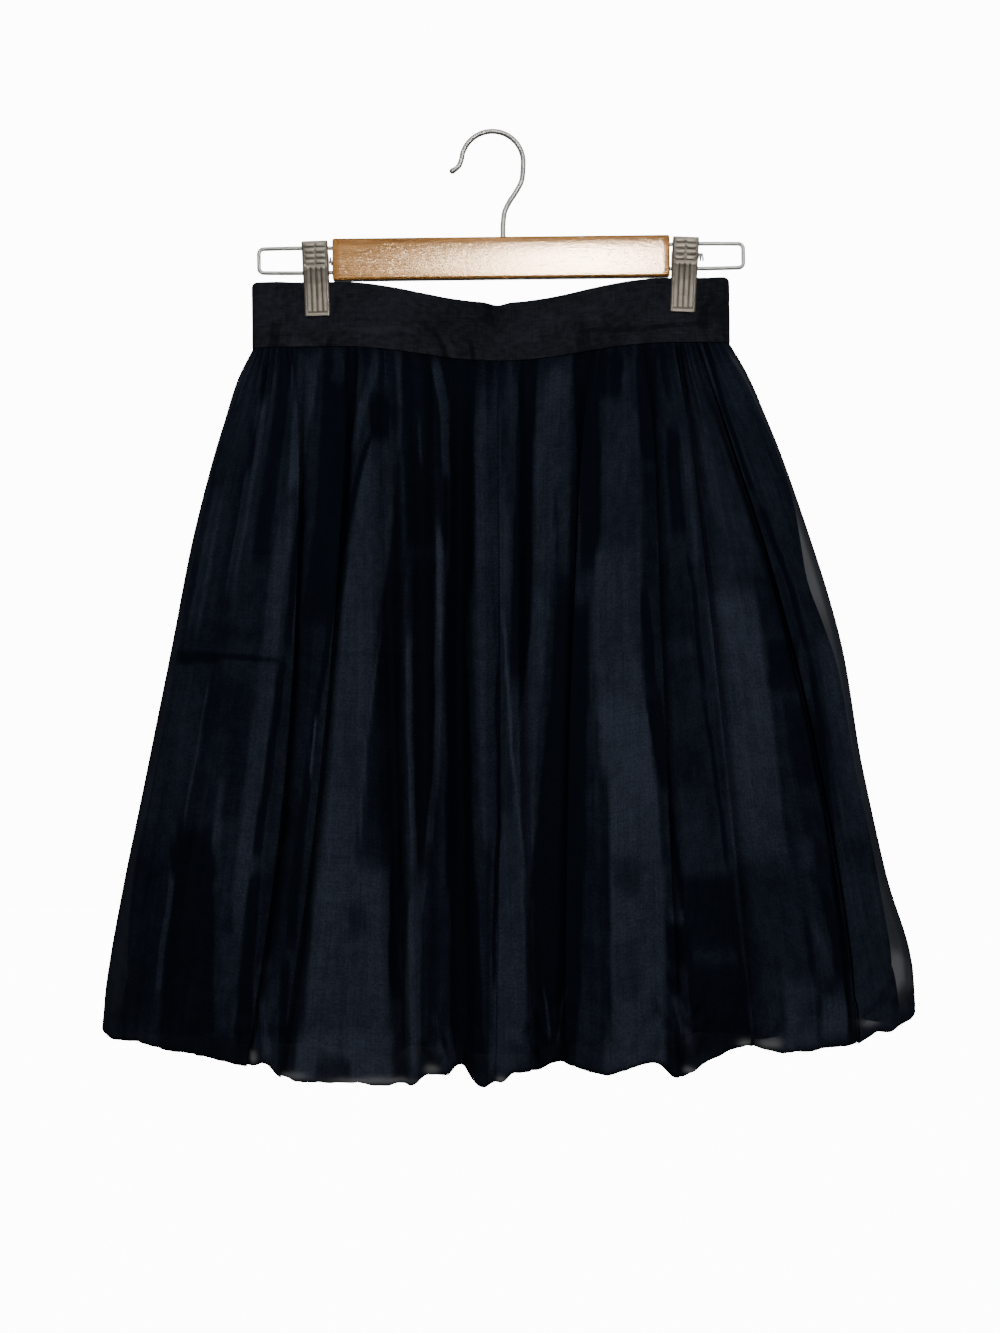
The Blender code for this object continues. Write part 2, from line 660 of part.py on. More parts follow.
def build():
    for old in list(bpy.data.objects):
        bpy.data.objects.remove(old)
    parts = collection("balloon_skirt_on_hanger")
    cutters = collection("cutters")
    organza = material("organza", (0.012, 0.014, 0.022), 0.55)
    lining = material("lining", (0.004, 0.0045, 0.006), 0.6)
    band = material("waistband_cloth", (0.010, 0.011, 0.015), 0.75)
    wood = material("varnished_beech", (0.56, 0.34, 0.17), 0.35)
    steel = material("plated_steel", (0.62, 0.60, 0.56), 0.30, 1.0)
    for side, word in ((FRONT, "front"), (BACK, "back")):
        sheet("organza_" + word, organza_points(side), ORGANZA_WALL, parts, organza)
        sheet("lining_" + word, lining_points(side), LINING_WALL, parts, lining)
        sheet("waistband_" + word, waistband_points(side), WAISTBAND_WALL, parts, band)
    make_bar(parts, cutters, wood)
    make_hook(parts, cutters, steel)
    for side in (LEFT, RIGHT):
        make_loop(side, parts, steel)
        make_clip(side, parts, steel)


build()
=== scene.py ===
import math
from collections import namedtuple

import bmesh
import bpy
import numpy as np
from mathutils import Matrix, Vector


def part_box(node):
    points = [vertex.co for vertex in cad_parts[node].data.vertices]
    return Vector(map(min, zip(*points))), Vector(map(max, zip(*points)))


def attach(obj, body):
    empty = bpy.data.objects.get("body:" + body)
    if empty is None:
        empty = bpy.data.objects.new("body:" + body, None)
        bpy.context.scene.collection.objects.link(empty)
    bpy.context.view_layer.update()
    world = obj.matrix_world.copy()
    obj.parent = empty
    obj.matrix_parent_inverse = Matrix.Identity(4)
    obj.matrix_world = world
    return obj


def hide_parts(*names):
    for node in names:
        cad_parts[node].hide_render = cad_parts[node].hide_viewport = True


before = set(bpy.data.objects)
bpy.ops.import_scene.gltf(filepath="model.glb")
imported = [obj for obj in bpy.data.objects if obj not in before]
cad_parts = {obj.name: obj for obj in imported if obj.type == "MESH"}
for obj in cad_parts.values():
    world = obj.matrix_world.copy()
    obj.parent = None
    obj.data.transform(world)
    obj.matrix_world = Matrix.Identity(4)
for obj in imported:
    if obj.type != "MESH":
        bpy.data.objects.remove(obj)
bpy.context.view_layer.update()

# The bar is one length of beech, planed, rounded over along its edges and varnished clear.
# The wire loops are driven into bores in its ends, and the hook's stem into its top.
FRONT, BACK = -1, 1
LEFT, RIGHT = -1, 1
BAR_LOW, BAR_HIGH = (np.array(corner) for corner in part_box("hanger_bar"))
BAR_EDGE = 0.0016
BAR_END_EDGE = 0.0012
BAR_CROWN = 0.0007


class Line:
    """The output of a shader node. Arithmetic on it adds Math nodes, so that masks read as formulas."""

    def __init__(self, finish, socket):
        self.finish, self.socket = finish, socket

    def math(self, operation, *others):
        values = dict(zip("012", (self, *others)))
        return self.finish.node("ShaderNodeMath", {"operation": operation}, **values)

    def __add__(self, other):
        return self.math("ADD", other)

    def __sub__(self, other):
        return self.math("SUBTRACT", other)

    def __rsub__(self, other):
        return self.finish.node("ShaderNodeMath", {"operation": "SUBTRACT"}, **{"0": other, "1": self})

    def __mul__(self, other):
        return self.math("MULTIPLY", other)

    __radd__, __rmul__ = __add__, __mul__

    def between(self, low, high):
        """0 at low, 1 at high, and a smooth step between."""
        return self.finish.node(
            "ShaderNodeMapRange", {"interpolation_type": "SMOOTHSTEP"},
            Value=self, **{"From Min": low, "From Max": high})

    def part(self, name):
        """Another output of the same node."""
        return Line(self.finish, self.socket.node.outputs[name])


class Finish:
    """A material being made: the nodes behind one Principled shader."""

    def __init__(self, name, **constants):
        self.material = bpy.data.materials.new(name)
        self.material.use_nodes = True
        self.tree = self.material.node_tree
        self.shader = self.tree.nodes["Principled BSDF"]
        for socket, value in constants.items():
            self.shader.inputs[socket.replace("_", " ")].default_value = value

    def node(self, kind, settings=None, **inputs):
        """A node of any kind: its settings, then the values or lines of its sockets, by name or number."""
        made = self.tree.nodes.new(kind)
        for name, value in (settings or {}).items():
            setattr(made, name, value)
        for name, value in inputs.items():
            socket = made.inputs[int(name) if name.isdigit() else name]
            if isinstance(value, Line):
                self.tree.links.new(value.socket, socket)
            else:
                socket.default_value = value
        return Line(self, next(output for output in made.outputs if output.enabled))

    def feed(self, socket, line):
        self.tree.links.new(line.socket, self.shader.inputs[socket])

    def place(self, scale=(1, 1, 1), source="Object"):
        """Object coordinates in metres or the cloth's own UV, stretched."""
        where = self.node("ShaderNodeTexCoord").part(source)
        return self.node("ShaderNodeMapping", Vector=where, Scale=scale)

    def noise(self, where, scale, detail=3.0, roughness=0.5):
        return self.node("ShaderNodeTexNoise", Vector=where, Scale=scale, Detail=detail, Roughness=roughness)

    def mix(self, factor, first, second):
        """From the first colour to the second, by a line from 0 to 1."""
        made = self.tree.nodes.new("ShaderNodeMix")
        made.data_type = "RGBA"
        sockets = {"Factor_Float": factor, "A_Color": first, "B_Color": second}
        for socket in made.inputs:
            value = sockets.get(socket.identifier)
            if isinstance(value, Line):
                self.tree.links.new(value.socket, socket)
            elif value is not None:
                socket.default_value = value if np.isscalar(value) else (*value, 1.0)
        return Line(self, next(s for s in made.outputs if s.identifier == "Result_Color"))

    def bump(self, height, distance, strength=1.0):
        made = self.node("ShaderNodeBump", Height=height, Distance=distance, Strength=strength)
        self.feed("Normal", made)


def new_piece(name, points, faces, finish, uv=None):
    """A smooth-shaded mesh at the origin, with its UV map in metres of flat cloth where it has one."""
    mesh = bpy.data.meshes.new(name)
    mesh.from_pydata(points.reshape(-1, 3).tolist(), [], [tuple(f) for f in faces])
    mesh.polygons.foreach_set("use_smooth", np.ones(len(mesh.polygons), bool))
    if uv is not None:
        corners = np.empty(len(mesh.loops), np.int32)
        mesh.loops.foreach_get("vertex_index", corners)
        layer = mesh.uv_layers.new(name="Cloth")
        layer.data.foreach_set("uv", uv.reshape(-1, 2)[corners].ravel())
    mesh.materials.append(finish.material)
    made = bpy.data.objects.new(name, mesh)
    bpy.context.scene.collection.objects.link(made)
    return made


def keep_value(piece, name, values):
    """Stores one number for each point, for the material to read."""
    layer = piece.data.attributes.new(name, "FLOAT", "POINT")
    layer.data.foreach_set("value", np.asarray(values, np.float32).ravel())


def grid_faces(rows, columns, closed=False):
    """Quads between rows of points. Where closed, the last column joins the first."""
    corner = np.arange(rows * columns).reshape(rows, columns)
    if closed:
        corner = np.concatenate([corner, corner[:, :1]], axis=1)
    quads = [corner[:-1, :-1], corner[1:, :-1], corner[1:, 1:], corner[:-1, 1:]]
    return np.stack(quads, axis=-1).reshape(-1, 4)


def capped(rows, columns):
    """Quads of a closed tube, with one flat face over each end."""
    sides = [tuple(f) for f in grid_faces(rows, columns, closed=True)]
    first = tuple(range(columns))
    last = tuple(range((rows - 1) * columns, rows * columns))
    return sides + [first[::-1], last]


def outward(piece):
    """Turns every face of a closed piece to point out."""
    shape = bmesh.new()
    shape.from_mesh(piece.data)
    bmesh.ops.recalc_face_normals(shape, faces=shape.faces)
    shape.to_mesh(piece.data)
    shape.free()


def rounded_section(half_y, half_z, edge, crown):
    """Half outlines from the top to the foot, front and back, with arcs for corners.

    At height z a side stands half_y + crown * (1 - (z / half_z)^2) out from the middle.
    """
    corner = np.linspace(0, np.pi / 2, 8)
    flank = np.linspace(half_z - edge, edge - half_z, 9)[1:-1]
    z = np.concatenate([half_z - edge + edge * np.cos(corner), flank, edge - half_z - edge * np.sin(corner)])
    y = np.concatenate([half_y - edge + edge * np.sin(corner), np.full_like(flank, half_y),
                        half_y - edge + edge * np.cos(corner)]) + crown * (1 - (z / half_z) ** 2)
    return np.concatenate([np.stack([y, z], axis=1), np.stack([-y, z], axis=1)[::-1]])


def beech():
    """Beech under clear varnish: straight grain along X, darker flecks, a gloss broken by the grain."""
    wood = Finish("varnished_beech", Roughness=0.3)
    wood.shader.inputs["Specular Tint"].default_value = (1.0, 0.74, 0.50, 1.0)
    grain = wood.noise(wood.place((12, 600, 600)), 3.0, 4.0, 0.6)
    bands = wood.noise(wood.place((4.0, 40, 60)), 3.0, 3.0, 0.5)
    flecks = wood.noise(wood.place((110, 900, 900)), 2.0, 1.0, 0.4).between(0.60, 0.70)
    ripple = wood.noise(wood.place((300, 700, 700)), 1.0, 3.0, 0.6).between(0.35, 0.65)
    tone = (grain * 0.55 + bands * 0.45).between(0.36, 0.64)
    colour = wood.mix(tone, (0.120, 0.048, 0.009), (0.225, 0.100, 0.023))
    wood.feed("Base Color", wood.mix(flecks * 0.4, colour, (0.11, 0.044, 0.014)))
    wood.feed("Roughness", 0.06 + grain * 0.16 + flecks * 0.10)
    wood.bump(grain + ripple + bands * 0.5 - flecks * 0.4, 0.000016)
    return wood


def make_bar():
    """The rounded section carried along X; its first and last rows draw in on an arc for the end edges."""
    half = (BAR_HIGH - BAR_LOW) / 2
    middle = (BAR_HIGH + BAR_LOW) / 2
    straight = half[0] - BAR_END_EDGE
    arc = np.linspace(0, np.pi / 2, 6)
    end, drawn_in = BAR_END_EDGE * np.cos(arc), BAR_END_EDGE * (1 - np.sin(arc))
    length = np.linspace(-straight, straight, 60)[1:-1]
    x = np.concatenate([-straight - end, length, straight + end[::-1]])
    inset = np.concatenate([drawn_in, 0 * length, drawn_in[::-1]])
    section = rounded_section(half[1] - BAR_CROWN, half[2], BAR_EDGE, BAR_CROWN)
    size = np.abs(section).max(axis=0)
    shrink = 1 - inset[:, None] / size
    y = section[:, 0] * shrink[:, :1]
    z = section[:, 1] * shrink[:, 1:]
    points = np.stack([np.broadcast_to(x[:, None], y.shape), y, z], axis=-1) + middle
    piece = new_piece("bar", points, capped(*y.shape), beech())
    outward(piece)
    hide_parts("hanger_bar")
    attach(piece, "root")
    return piece


bar = make_bar()

# The hook is one bent steel wire, nickel plated, with a small ball formed on its tip.
# Its stem is driven into the bar. It swings out and round, so that the crown sits over the bar's middle.
HOOK_WIRE = 0.0037
HOOK_RADIUS = 0.0217
HOOK_CENTRE_Z = HOOK_WIRE / 2 - HOOK_RADIUS
HOOK_BALL = 0.0042
STEM_X = 0.0072
SWING = ((STEM_X, BAR_HIGH[2] - 0.010), (STEM_X, -0.0620), (0.0082, -0.0550), (0.0116, -0.0478),
         (0.0163, -0.0408), (0.0203, -0.0333), (0.0215, -0.0250))
FLARE = ((-0.0215, -0.0175), (-0.0235, -0.0222), (-0.0268, -0.0249), (-0.0280, -0.0256))


def eased_path(stops, spacing=0.0008):
    """A smooth path through stops in X and Z: cubics that pass each stop in line with its neighbours."""
    stops = np.array(stops)
    run = np.concatenate([[0], np.cumsum(np.hypot(*np.diff(stops, axis=0).T))])
    at = np.linspace(0, run[-1], max(8, int(run[-1] / spacing)))
    slope = np.gradient(stops, run, axis=0)
    i = np.clip(np.searchsorted(run, at, side="right") - 1, 0, len(run) - 2)
    width = (run[i + 1] - run[i])[:, None]
    t = ((at - run[i]) / width[:, 0])[:, None]
    return ((2 * t**3 - 3 * t**2 + 1) * stops[i] + (t**3 - 2 * t**2 + t) * width * slope[i]
            + (3 * t**2 - 2 * t**3) * stops[i + 1] + (t**3 - t**2) * width * slope[i + 1])


def bent_wire(name, path, radius, finish, sides=20):
    """A tube round a path in the plane y = 0: each ring lies across the path's own direction."""
    path = np.asarray(path)
    along = np.gradient(path, axis=0)
    along /= np.linalg.norm(along, axis=1)[:, None]
    across = np.stack([along[:, 1], -along[:, 0]], axis=1)
    angle = np.linspace(0, 2 * np.pi, sides, endpoint=False)
    radius = np.broadcast_to(radius, len(path))[:, None]
    x = path[:, :1] + radius * np.cos(angle) * across[:, :1]
    z = path[:, 1:] + radius * np.cos(angle) * across[:, 1:]
    y = radius * np.sin(angle) * np.ones_like(x)
    piece = new_piece(name, np.stack([x, y, z], axis=-1), capped(*x.shape), finish)
    outward(piece)
    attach(piece, "root")
    return piece


def nickel(name, roughness):
    """Bright nickel plate over drawn or pressed steel, a little cloudy, with fine rubbing marks."""
    plate = Finish(name, Metallic=1.0, Roughness=roughness)
    cloud = plate.noise(plate.place(), 90.0, 3.0)
    marks = plate.noise(plate.place((900, 900, 140)), 1.0, 2.0)
    plate.feed("Base Color", plate.mix(cloud.between(0.35, 0.7), (0.62, 0.60, 0.565), (0.78, 0.755, 0.71)))
    plate.feed("Roughness", roughness - 0.06 + cloud * 0.12)
    plate.bump(marks, 0.00002)
    return plate


wire_plate = nickel("plated_wire", 0.42)


def make_hook():
    """The stem and swing, an arc for the crown, and the flare, with the wire swelled to a ball at the tip."""
    around = np.radians(np.linspace(-10, 170, 90))
    crown = np.stack([HOOK_RADIUS * np.cos(around), HOOK_CENTRE_Z + HOOK_RADIUS * np.sin(around)], axis=1)
    path = np.concatenate([eased_path(SWING), crown[3:-3], eased_path(FLARE, 0.0003)])
    run = np.concatenate([[0], np.cumsum(np.hypot(*np.diff(path, axis=0).T))])
    ball = HOOK_BALL / 2
    to_centre = run - run[-1]
    swell = np.sqrt(np.maximum(ball**2 - to_centre**2, 0))
    past = ball * np.sin(np.linspace(0, np.pi / 2 * 0.97, 8)[1:])
    tip = path[-1] + np.outer(past, (path[-1] - path[-2]) / np.linalg.norm(path[-1] - path[-2]))
    radius = np.concatenate([np.maximum(HOOK_WIRE / 2, swell), np.sqrt(ball**2 - past**2)])
    hook = bent_wire("hook", np.concatenate([path, tip]), radius, wire_plate, 24)
    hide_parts("hanger_hook")


make_hook()

# Each end of the bar carries a long flat loop of the same plated wire, a little thinner.
# Both its ends are pushed into the bar, and the clip slides along it.
LOOP_WIRE = 0.0029
LOOP_CORNER = 0.0034
LOOP_SEATED = 0.0100
LOOP_BOW = 0.0004


def make_loop(side, node):
    """A rounded rectangle open at the bar: two straight wires, two quarter turns and the outer end."""
    low, high = (np.array(corner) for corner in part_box(node))
    top, bottom = high[2] - LOOP_WIRE / 2, low[2] + LOOP_WIRE / 2
    outer = (low[0] + LOOP_WIRE / 2) if side == LEFT else (high[0] - LOOP_WIRE / 2)
    start = (BAR_LOW[0] + LOOP_SEATED) if side == LEFT else (BAR_HIGH[0] - LOOP_SEATED)
    turn = np.radians(np.linspace(90, 0, 12))
    bend = outer - side * LOOP_CORNER
    upper = np.stack([side * np.cos(turn), np.sin(turn) - 1], axis=1) * LOOP_CORNER + (bend, top)
    lower = np.stack([upper[::-1, 0], top + bottom - upper[::-1, 1]], axis=1)
    straight = np.linspace(start, bend, 40)[:-1]
    path = np.concatenate([
        np.stack([straight, np.full_like(straight, top)], axis=1), upper, lower,
        np.stack([straight[::-1], np.full_like(straight, bottom)], axis=1)])
    bow = LOOP_BOW * np.sin((path[:, 0] - start) / (outer - start) * np.pi)
    path[:, 1] += bow * np.sign(path[:, 1] - (top + bottom) / 2)
    loop = bent_wire("loop_left" if side == LEFT else "loop_right", path, LOOP_WIRE / 2, wire_plate, 16)
    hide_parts(node)


make_loop(LEFT, "hanger_loop_left")
make_loop(RIGHT, "hanger_loop_right")

# Each clip is a pair of pressed steel jaws on one pin, held shut by a coil spring round it.
# The finger ends are pressed in short bars with a groove between, the jaws in four ribs in a raised frame.
CLIP_TOP = -0.0750
CLIP_WIDTH = 0.0175
CLIP_PLATE = 0.0008
CLIP_PIVOT_DOWN = 0.0128
CLIP_LEAN = {LEFT: math.radians(1.5), RIGHT: math.radians(-2.8)}
BAR_MIDDLE_X = (BAR_LOW[0] + BAR_HIGH[0]) / 2
CLIP_X = {LEFT: BAR_MIDDLE_X - 0.1296, RIGHT: BAR_MIDDLE_X + 0.1284}
Jaw = namedtuple("Jaw", "down out fold")
JAW = (
    Jaw(0.0000, 0.0096, 0.0010),
    Jaw(0.0030, 0.0094, 0.0026),
    Jaw(0.0085, 0.0086, 0.0034),
    Jaw(0.0100, 0.0083, 0.0098),
    Jaw(0.0184, 0.0070, 0.0084),
    Jaw(0.0196, 0.0067, 0.0026),
    Jaw(0.0290, 0.0048, 0.0012),
    Jaw(0.0400, 0.0037, 0.0003),
    Jaw(0.0515, 0.0037, 0.0003),
)
BAR_ROWS = (0.0028, 0.0067, 0.0106, 0.0145)
RIB_ROWS = (0.0182, 0.0484)
RIB_COLUMNS = (-0.0056, -0.0019, 0.0019, 0.0056)


def column(table, name):
    return np.array([getattr(row, name) for row in table])


def hump(distance, half_width):
    """A rounded ridge: 1 on its line, 0 at half_width from it and beyond."""
    return np.sqrt(np.clip(1 - (distance / half_width) ** 2, 0, 1))


def pressed_relief(x, down, half):
    """How far the jaw's pattern stands out: four rows of short bars, four long ribs, and a raised frame."""
    bars = sum(hump(down - row, 0.0013) for row in BAR_ROWS) * hump(np.abs(x) - 0.0038, 0.0031) ** 0.6
    inside = np.clip((down - RIB_ROWS[0]) / 0.0012, 0, 1) * np.clip((RIB_ROWS[1] - down) / 0.0008, 0, 1)
    ribs = sum(hump(x - line, 0.0013) for line in RIB_COLUMNS) * np.sqrt(inside)
    dots = sum(hump(np.hypot(x - line, down - RIB_ROWS[0] - 0.0006), 0.0014) for line in RIB_COLUMNS)
    frame_sides = hump(np.abs(x) - (half - 0.0007), 0.0007) * (down > 0.0160)
    lip = hump(down - 0.0505, 0.0011)
    return 0.00042 * bars + 0.00017 * ribs + 0.00014 * dots + 0.00020 * np.maximum(frame_sides, lip)


def pressed_steel():
    """The clips' nickel-plated sheet: its plain colour on the pressed ridges, with painted shade darkening it
    in the grooves.
    """
    plate = nickel("plated_sheet", 0.38)
    # Painted shade: the jaw's attribute darkens the base colour in the pressed grooves.
    painted_groove_shade = plate.node("ShaderNodeAttribute", {"attribute_name": "painted_groove_shade"}).part("Fac")
    cloud = plate.noise(plate.place(), 160.0, 3.0)
    bright = plate.mix(cloud.between(0.3, 0.7), (0.35, 0.315, 0.265), (0.49, 0.445, 0.375))
    plate.feed("Base Color", plate.mix(painted_groove_shade, bright, (0.150, 0.133, 0.108)))
    plate.feed("Roughness", 0.44 + painted_groove_shade * 0.08 + cloud * 0.08)
    return plate


def make_jaw(name, node, side, face, half):
    """A face of the jaw with its relief, and sides folded back by a table. Solidify gives it a wall."""
    bend = 0.0008
    steps = np.linspace(0, JAW[-1].down, 170)
    out = np.interp(steps, column(JAW, "down"), column(JAW, "out")) - CLIP_PLATE
    fold = np.interp(steps, column(JAW, "down"), column(JAW, "fold"))
    turn = np.linspace(0, np.pi / 2, 6)[1:]
    cheek, flat = np.ones(5), np.linspace(-(half - bend), half - bend, 72)
    x = np.concatenate([-half * cheek, -(half - bend) - bend * np.sin(turn[::-1]), flat,
                        half - bend + bend * np.sin(turn), half * cheek])
    rounded = bend * (1 - np.cos(turn))
    corner = np.concatenate([bend * cheek, rounded[::-1], 0 * flat, rounded, bend * cheek])
    folded = np.concatenate([np.linspace(1, 0.2, 5), 0 * turn, 0 * flat, 0 * turn, np.linspace(0.2, 1, 5)])
    across, down = np.meshgrid(x, steps)
    relief = pressed_relief(across, down, half) * (np.abs(across) < half - 0.0001)
    y = out[:, None] - corner - folded * fold[:, None] + relief
    jaw = new_piece(name, np.stack([across, face * y, CLIP_PIVOT_DOWN - down], axis=-1),
                    grid_faces(*across.shape), clip_plate)
    # Painted shade darkens the colour in the pressed grooves; the ribbed lower part of the face is darker
    # throughout.
    ribbed = (down > RIB_ROWS[0]) * 0.35
    painted_groove_shade = ribbed + (0.55 + ribbed - 0.25) * (1 - np.clip(relief / 0.00017, 0, 1))
    keep_value(jaw, "painted_groove_shade", painted_groove_shade * (folded == 0))
    lean = Matrix.Rotation(-CLIP_LEAN[side], 4, "Y")
    jaw.data.transform(Matrix.Translation((CLIP_X[side], 0, CLIP_TOP - CLIP_PIVOT_DOWN)) @ lean)
    wall = jaw.modifiers.new("Plate", "SOLIDIFY")
    wall.thickness = CLIP_PLATE
    wall.offset = 1.0 if face == FRONT else -1.0
    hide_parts(node)
    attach(jaw, "root")


clip_plate = pressed_steel()
for side, word in ((LEFT, "left"), (RIGHT, "right")):
    outer = CLIP_WIDTH / 2 - CLIP_PLATE / 2
    make_jaw(f"clip_{word}_jaw_front", f"clip_{word}_front_jaw", side, FRONT, outer)
    make_jaw(f"clip_{word}_jaw_back", f"clip_{word}_back_jaw", side, BACK, outer - CLIP_PLATE - 0.0003)
    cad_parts[f"clip_{word}_pin"].data.materials.clear()
    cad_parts[f"clip_{word}_pin"].data.materials.append(wire_plate.material)

SPRING_WIRE = 0.0012
SPRING_TURNS = 6
TAIL_TURNS = 3
SPRING_TAIL = 0.0036


def make_spring(word):
    """A helix of wire round the pin in the solid ring's box, then one long turn and two past the jaw."""
    low, high = (np.array(corner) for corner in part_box(f"clip_{word}_spring"))
    middle = (low + high) / 2
    radius = (high[1] - low[1]) / 2 - SPRING_WIRE / 2
    half = (high[0] - low[0]) / 2 - SPRING_WIRE
    turn = np.linspace(0, 2 * np.pi * (SPRING_TURNS + TAIL_TURNS), 36 * (SPRING_TURNS + TAIL_TURNS))
    wound = 2 * np.pi * SPRING_TURNS
    past = CLIP_WIDTH / 2 + 0.0010
    stops = [0, wound, turn[-1] - 4 * np.pi, turn[-1]]
    along = np.interp(turn, stops, [-half, half, past, past + SPRING_TAIL])
    centre = middle + np.stack([along, radius * np.cos(turn), radius * np.sin(turn)], axis=1)
    ring = np.linspace(0, 2 * np.pi, 10, endpoint=False)
    outward_y, outward_z = np.cos(turn)[:, None], np.sin(turn)[:, None]
    reach = SPRING_WIRE / 2 * np.cos(ring)
    points = np.stack([centre[:, :1] + SPRING_WIRE / 2 * np.sin(ring) * np.ones_like(outward_y),
                       centre[:, 1:2] + reach * outward_y, centre[:, 2:] + reach * outward_z], axis=-1)
    spring = new_piece(f"clip_{word}_coil", points, capped(len(turn), len(ring)), wire_plate)
    outward(spring)
    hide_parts(f"clip_{word}_spring")
    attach(spring, "root")


make_spring("left")
make_spring("right")

# The waistband is a straight strip of slub-woven black cloth, folded double along its top edge.
# Front and back are joined at the sides. The clips pinch it flat, and between them it bows out and sags.
WAISTBAND_WALL = 0.0022
SEAM_GAP = 0.0003
SEAM_LAP = 0.0002
CLIP_GRIP = 0.0150
BAND_TOP = -0.1025
BAND_TOP_SAG = 0.0197
BAND_SEAM = -0.1485
BAND_SEAM_SAG = 0.0130
NARROWEST = 0.0014
SECTION_POINTS = 700
BAND_ROWS, BAND_COLUMNS = 60, 360

Outline = namedtuple("Outline", "share left right front back roundness")
OUTLINE = (
    Outline(0.000, 0.1685, 0.1640, 0.018, 0.018, 2.2),
    Outline(0.040, 0.1790, 0.1755, 0.026, 0.024, 2.2),
    Outline(0.115, 0.1915, 0.1910, 0.034, 0.030, 2.3),
    Outline(0.260, 0.2108, 0.2150, 0.044, 0.038, 2.4),
    Outline(0.440, 0.2285, 0.2398, 0.051, 0.044, 2.5),
    Outline(0.640, 0.2485, 0.2545, 0.057, 0.048, 2.5),
    Outline(0.800, 0.2645, 0.2700, 0.061, 0.052, 2.6),
    Outline(0.930, 0.2755, 0.2870, 0.063, 0.054, 2.6),
    Outline(1.000, 0.2790, 0.2885, 0.061, 0.053, 2.6),
)


def smooth(at, table, name):
    """The named column of a table at these shares, on a cubic through its rows."""
    share, value = column(table, "share"), column(table, name)
    slope = np.gradient(value, share)
    at = np.clip(at, share[0], share[-1])
    i = np.clip(np.searchsorted(share, at, side="right") - 1, 0, len(share) - 2)
    width = share[i + 1] - share[i]
    t = (at - share[i]) / width
    return ((2 * t**3 - 3 * t**2 + 1) * value[i] + (t**3 - 2 * t**2 + t) * width * slope[i]
            + (3 * t**2 - 2 * t**3) * value[i + 1] + (t**3 - t**2) * width * slope[i + 1])


def ease(t):
    """0 before 0, 1 after 1, and a smooth S between."""
    t = np.clip(t, 0.0, 1.0)
    return t * t * (3 - 2 * t)


def waves(seed, x, z, wide, tall, count=18):
    """A smooth random height, mostly from -1 to 1: a sum of sines, about wide apart in x and tall in z."""
    random = np.random.default_rng(seed)
    slopes = random.normal(0, 1, (count, 2))
    phases = random.uniform(0, 2 * np.pi, count)
    total = sum(np.sin(2 * np.pi * (a * x / wide + b * z / tall) + p) for (a, b), p in zip(slopes, phases))
    return total / np.sqrt(count)


# The folds are measured on the hanging skirt, which tips a little: in steps of 0.676 mm, right and down
# from a corner up and left of the hook. Positive tones are cloth in the light, negative ones lie in shadow.
STEP = 0.000676
CORNER_X, CORNER_Z = 0.0014 - 500 * STEP, -0.3728 + 666.5 * STEP
TIP = 0.01134
LIFT = 0.0012
WANDER = 0.9
Fold = namedtuple("Fold", "start end at_start at_middle at_end half_start half_end tone")


def in_steps(x, z):
    """These places in steps, across and down."""
    across, down = (x - CORNER_X) / STEP, (CORNER_Z - z) / STEP
    return across + (down - 666.5) * TIP, down - (across - 500) * TIP


def marks(table, across, down):
    """The tone at each place, each fold laid over those before it in the table.

    A fold runs down on a parabola through its three stops, and wanders a little. It is flat over its half
    width, but for narrow soft edges, and it fades at both ends.
    """
    total = np.zeros(np.broadcast(across, down).shape)
    for fold in table:
        length = fold.end - fold.start
        t = np.clip((down - fold.start) / length, 0, 1)
        bend = 2 * (fold.at_start + fold.at_end - 2 * fold.at_middle)
        line = fold.at_start + (fold.at_end - fold.at_start) * t + bend * (t * t - t)
        line = line + WANDER * (np.sin(down / 31 + fold.at_start) + 0.5 * np.sin(down / 12 + fold.at_end))
        half = fold.half_start + (fold.half_end - fold.half_start) * t
        soft = 1.6 + 0.16 * half
        wide = ease((half + soft / 2 - np.abs(across - line)) / soft)
        nearest_end = np.minimum(down - fold.start, fold.end - down)
        covered = wide * ease(nearest_end / min(16 + 0.06 * length, 0.5 * length))
        total += (fold.tone - total) * covered
    return total


def between_clips(x):
    """1 midway between the clips, 0 at each clip's grip and past it."""
    middle = (CLIP_X[LEFT] + CLIP_X[RIGHT]) / 2
    half = (CLIP_X[RIGHT] - CLIP_X[LEFT]) / 2 - CLIP_GRIP
    return np.cos(np.pi / 2 * np.clip((x - middle) / half, -1, 1)) ** 2


def past_clips(x):
    """0 at a clip, 1 at 12 mm outside its grip, where the folded end of the waistband opens again."""
    outside = np.maximum(CLIP_X[LEFT] - x, x - CLIP_X[RIGHT]) - CLIP_GRIP
    return ease(outside / 0.012)


def band_top(x):
    return BAND_TOP - BAND_TOP_SAG * between_clips(x)


def waist_seam(x):
    return BAND_SEAM - BAND_SEAM_SAG * between_clips(x)


def band_depth(x, down):
    """Half the waistband's depth at x, by the share down from its top edge to the seam."""
    pinched = WAISTBAND_WALL / 2 + SEAM_GAP
    at_clip = pinched + (0.0075 - pinched) * ease((down - 0.56) / 0.44)
    at_middle = 0.0265 - 0.0065 * down
    at_end = 0.0050 + 0.0035 * down
    depth = at_clip + (at_middle - at_clip) * between_clips(x)
    return depth + np.maximum(at_end - at_clip, 0) * past_clips(x)


LiningSide = namedtuple("LiningSide", "share left right")
LINING_SIDES = (
    LiningSide(0.000, 0.0040, 0.0040),
    LiningSide(0.020, 0.0064, 0.0064),
    LiningSide(0.060, 0.0052, 0.0052),
    LiningSide(0.120, 0.0034, 0.0036),
    LiningSide(0.245, 0.0034, 0.0036),
    LiningSide(0.290, 0.0036, 0.0070),
    LiningSide(0.350, 0.0038, 0.0110),
    LiningSide(0.410, 0.0040, 0.0088),
    LiningSide(0.470, 0.0045, 0.0058),
    LiningSide(0.600, 0.0052, 0.0042),
    LiningSide(0.800, 0.0062, 0.0050),
    LiningSide(0.925, 0.0140, 0.0140),
)


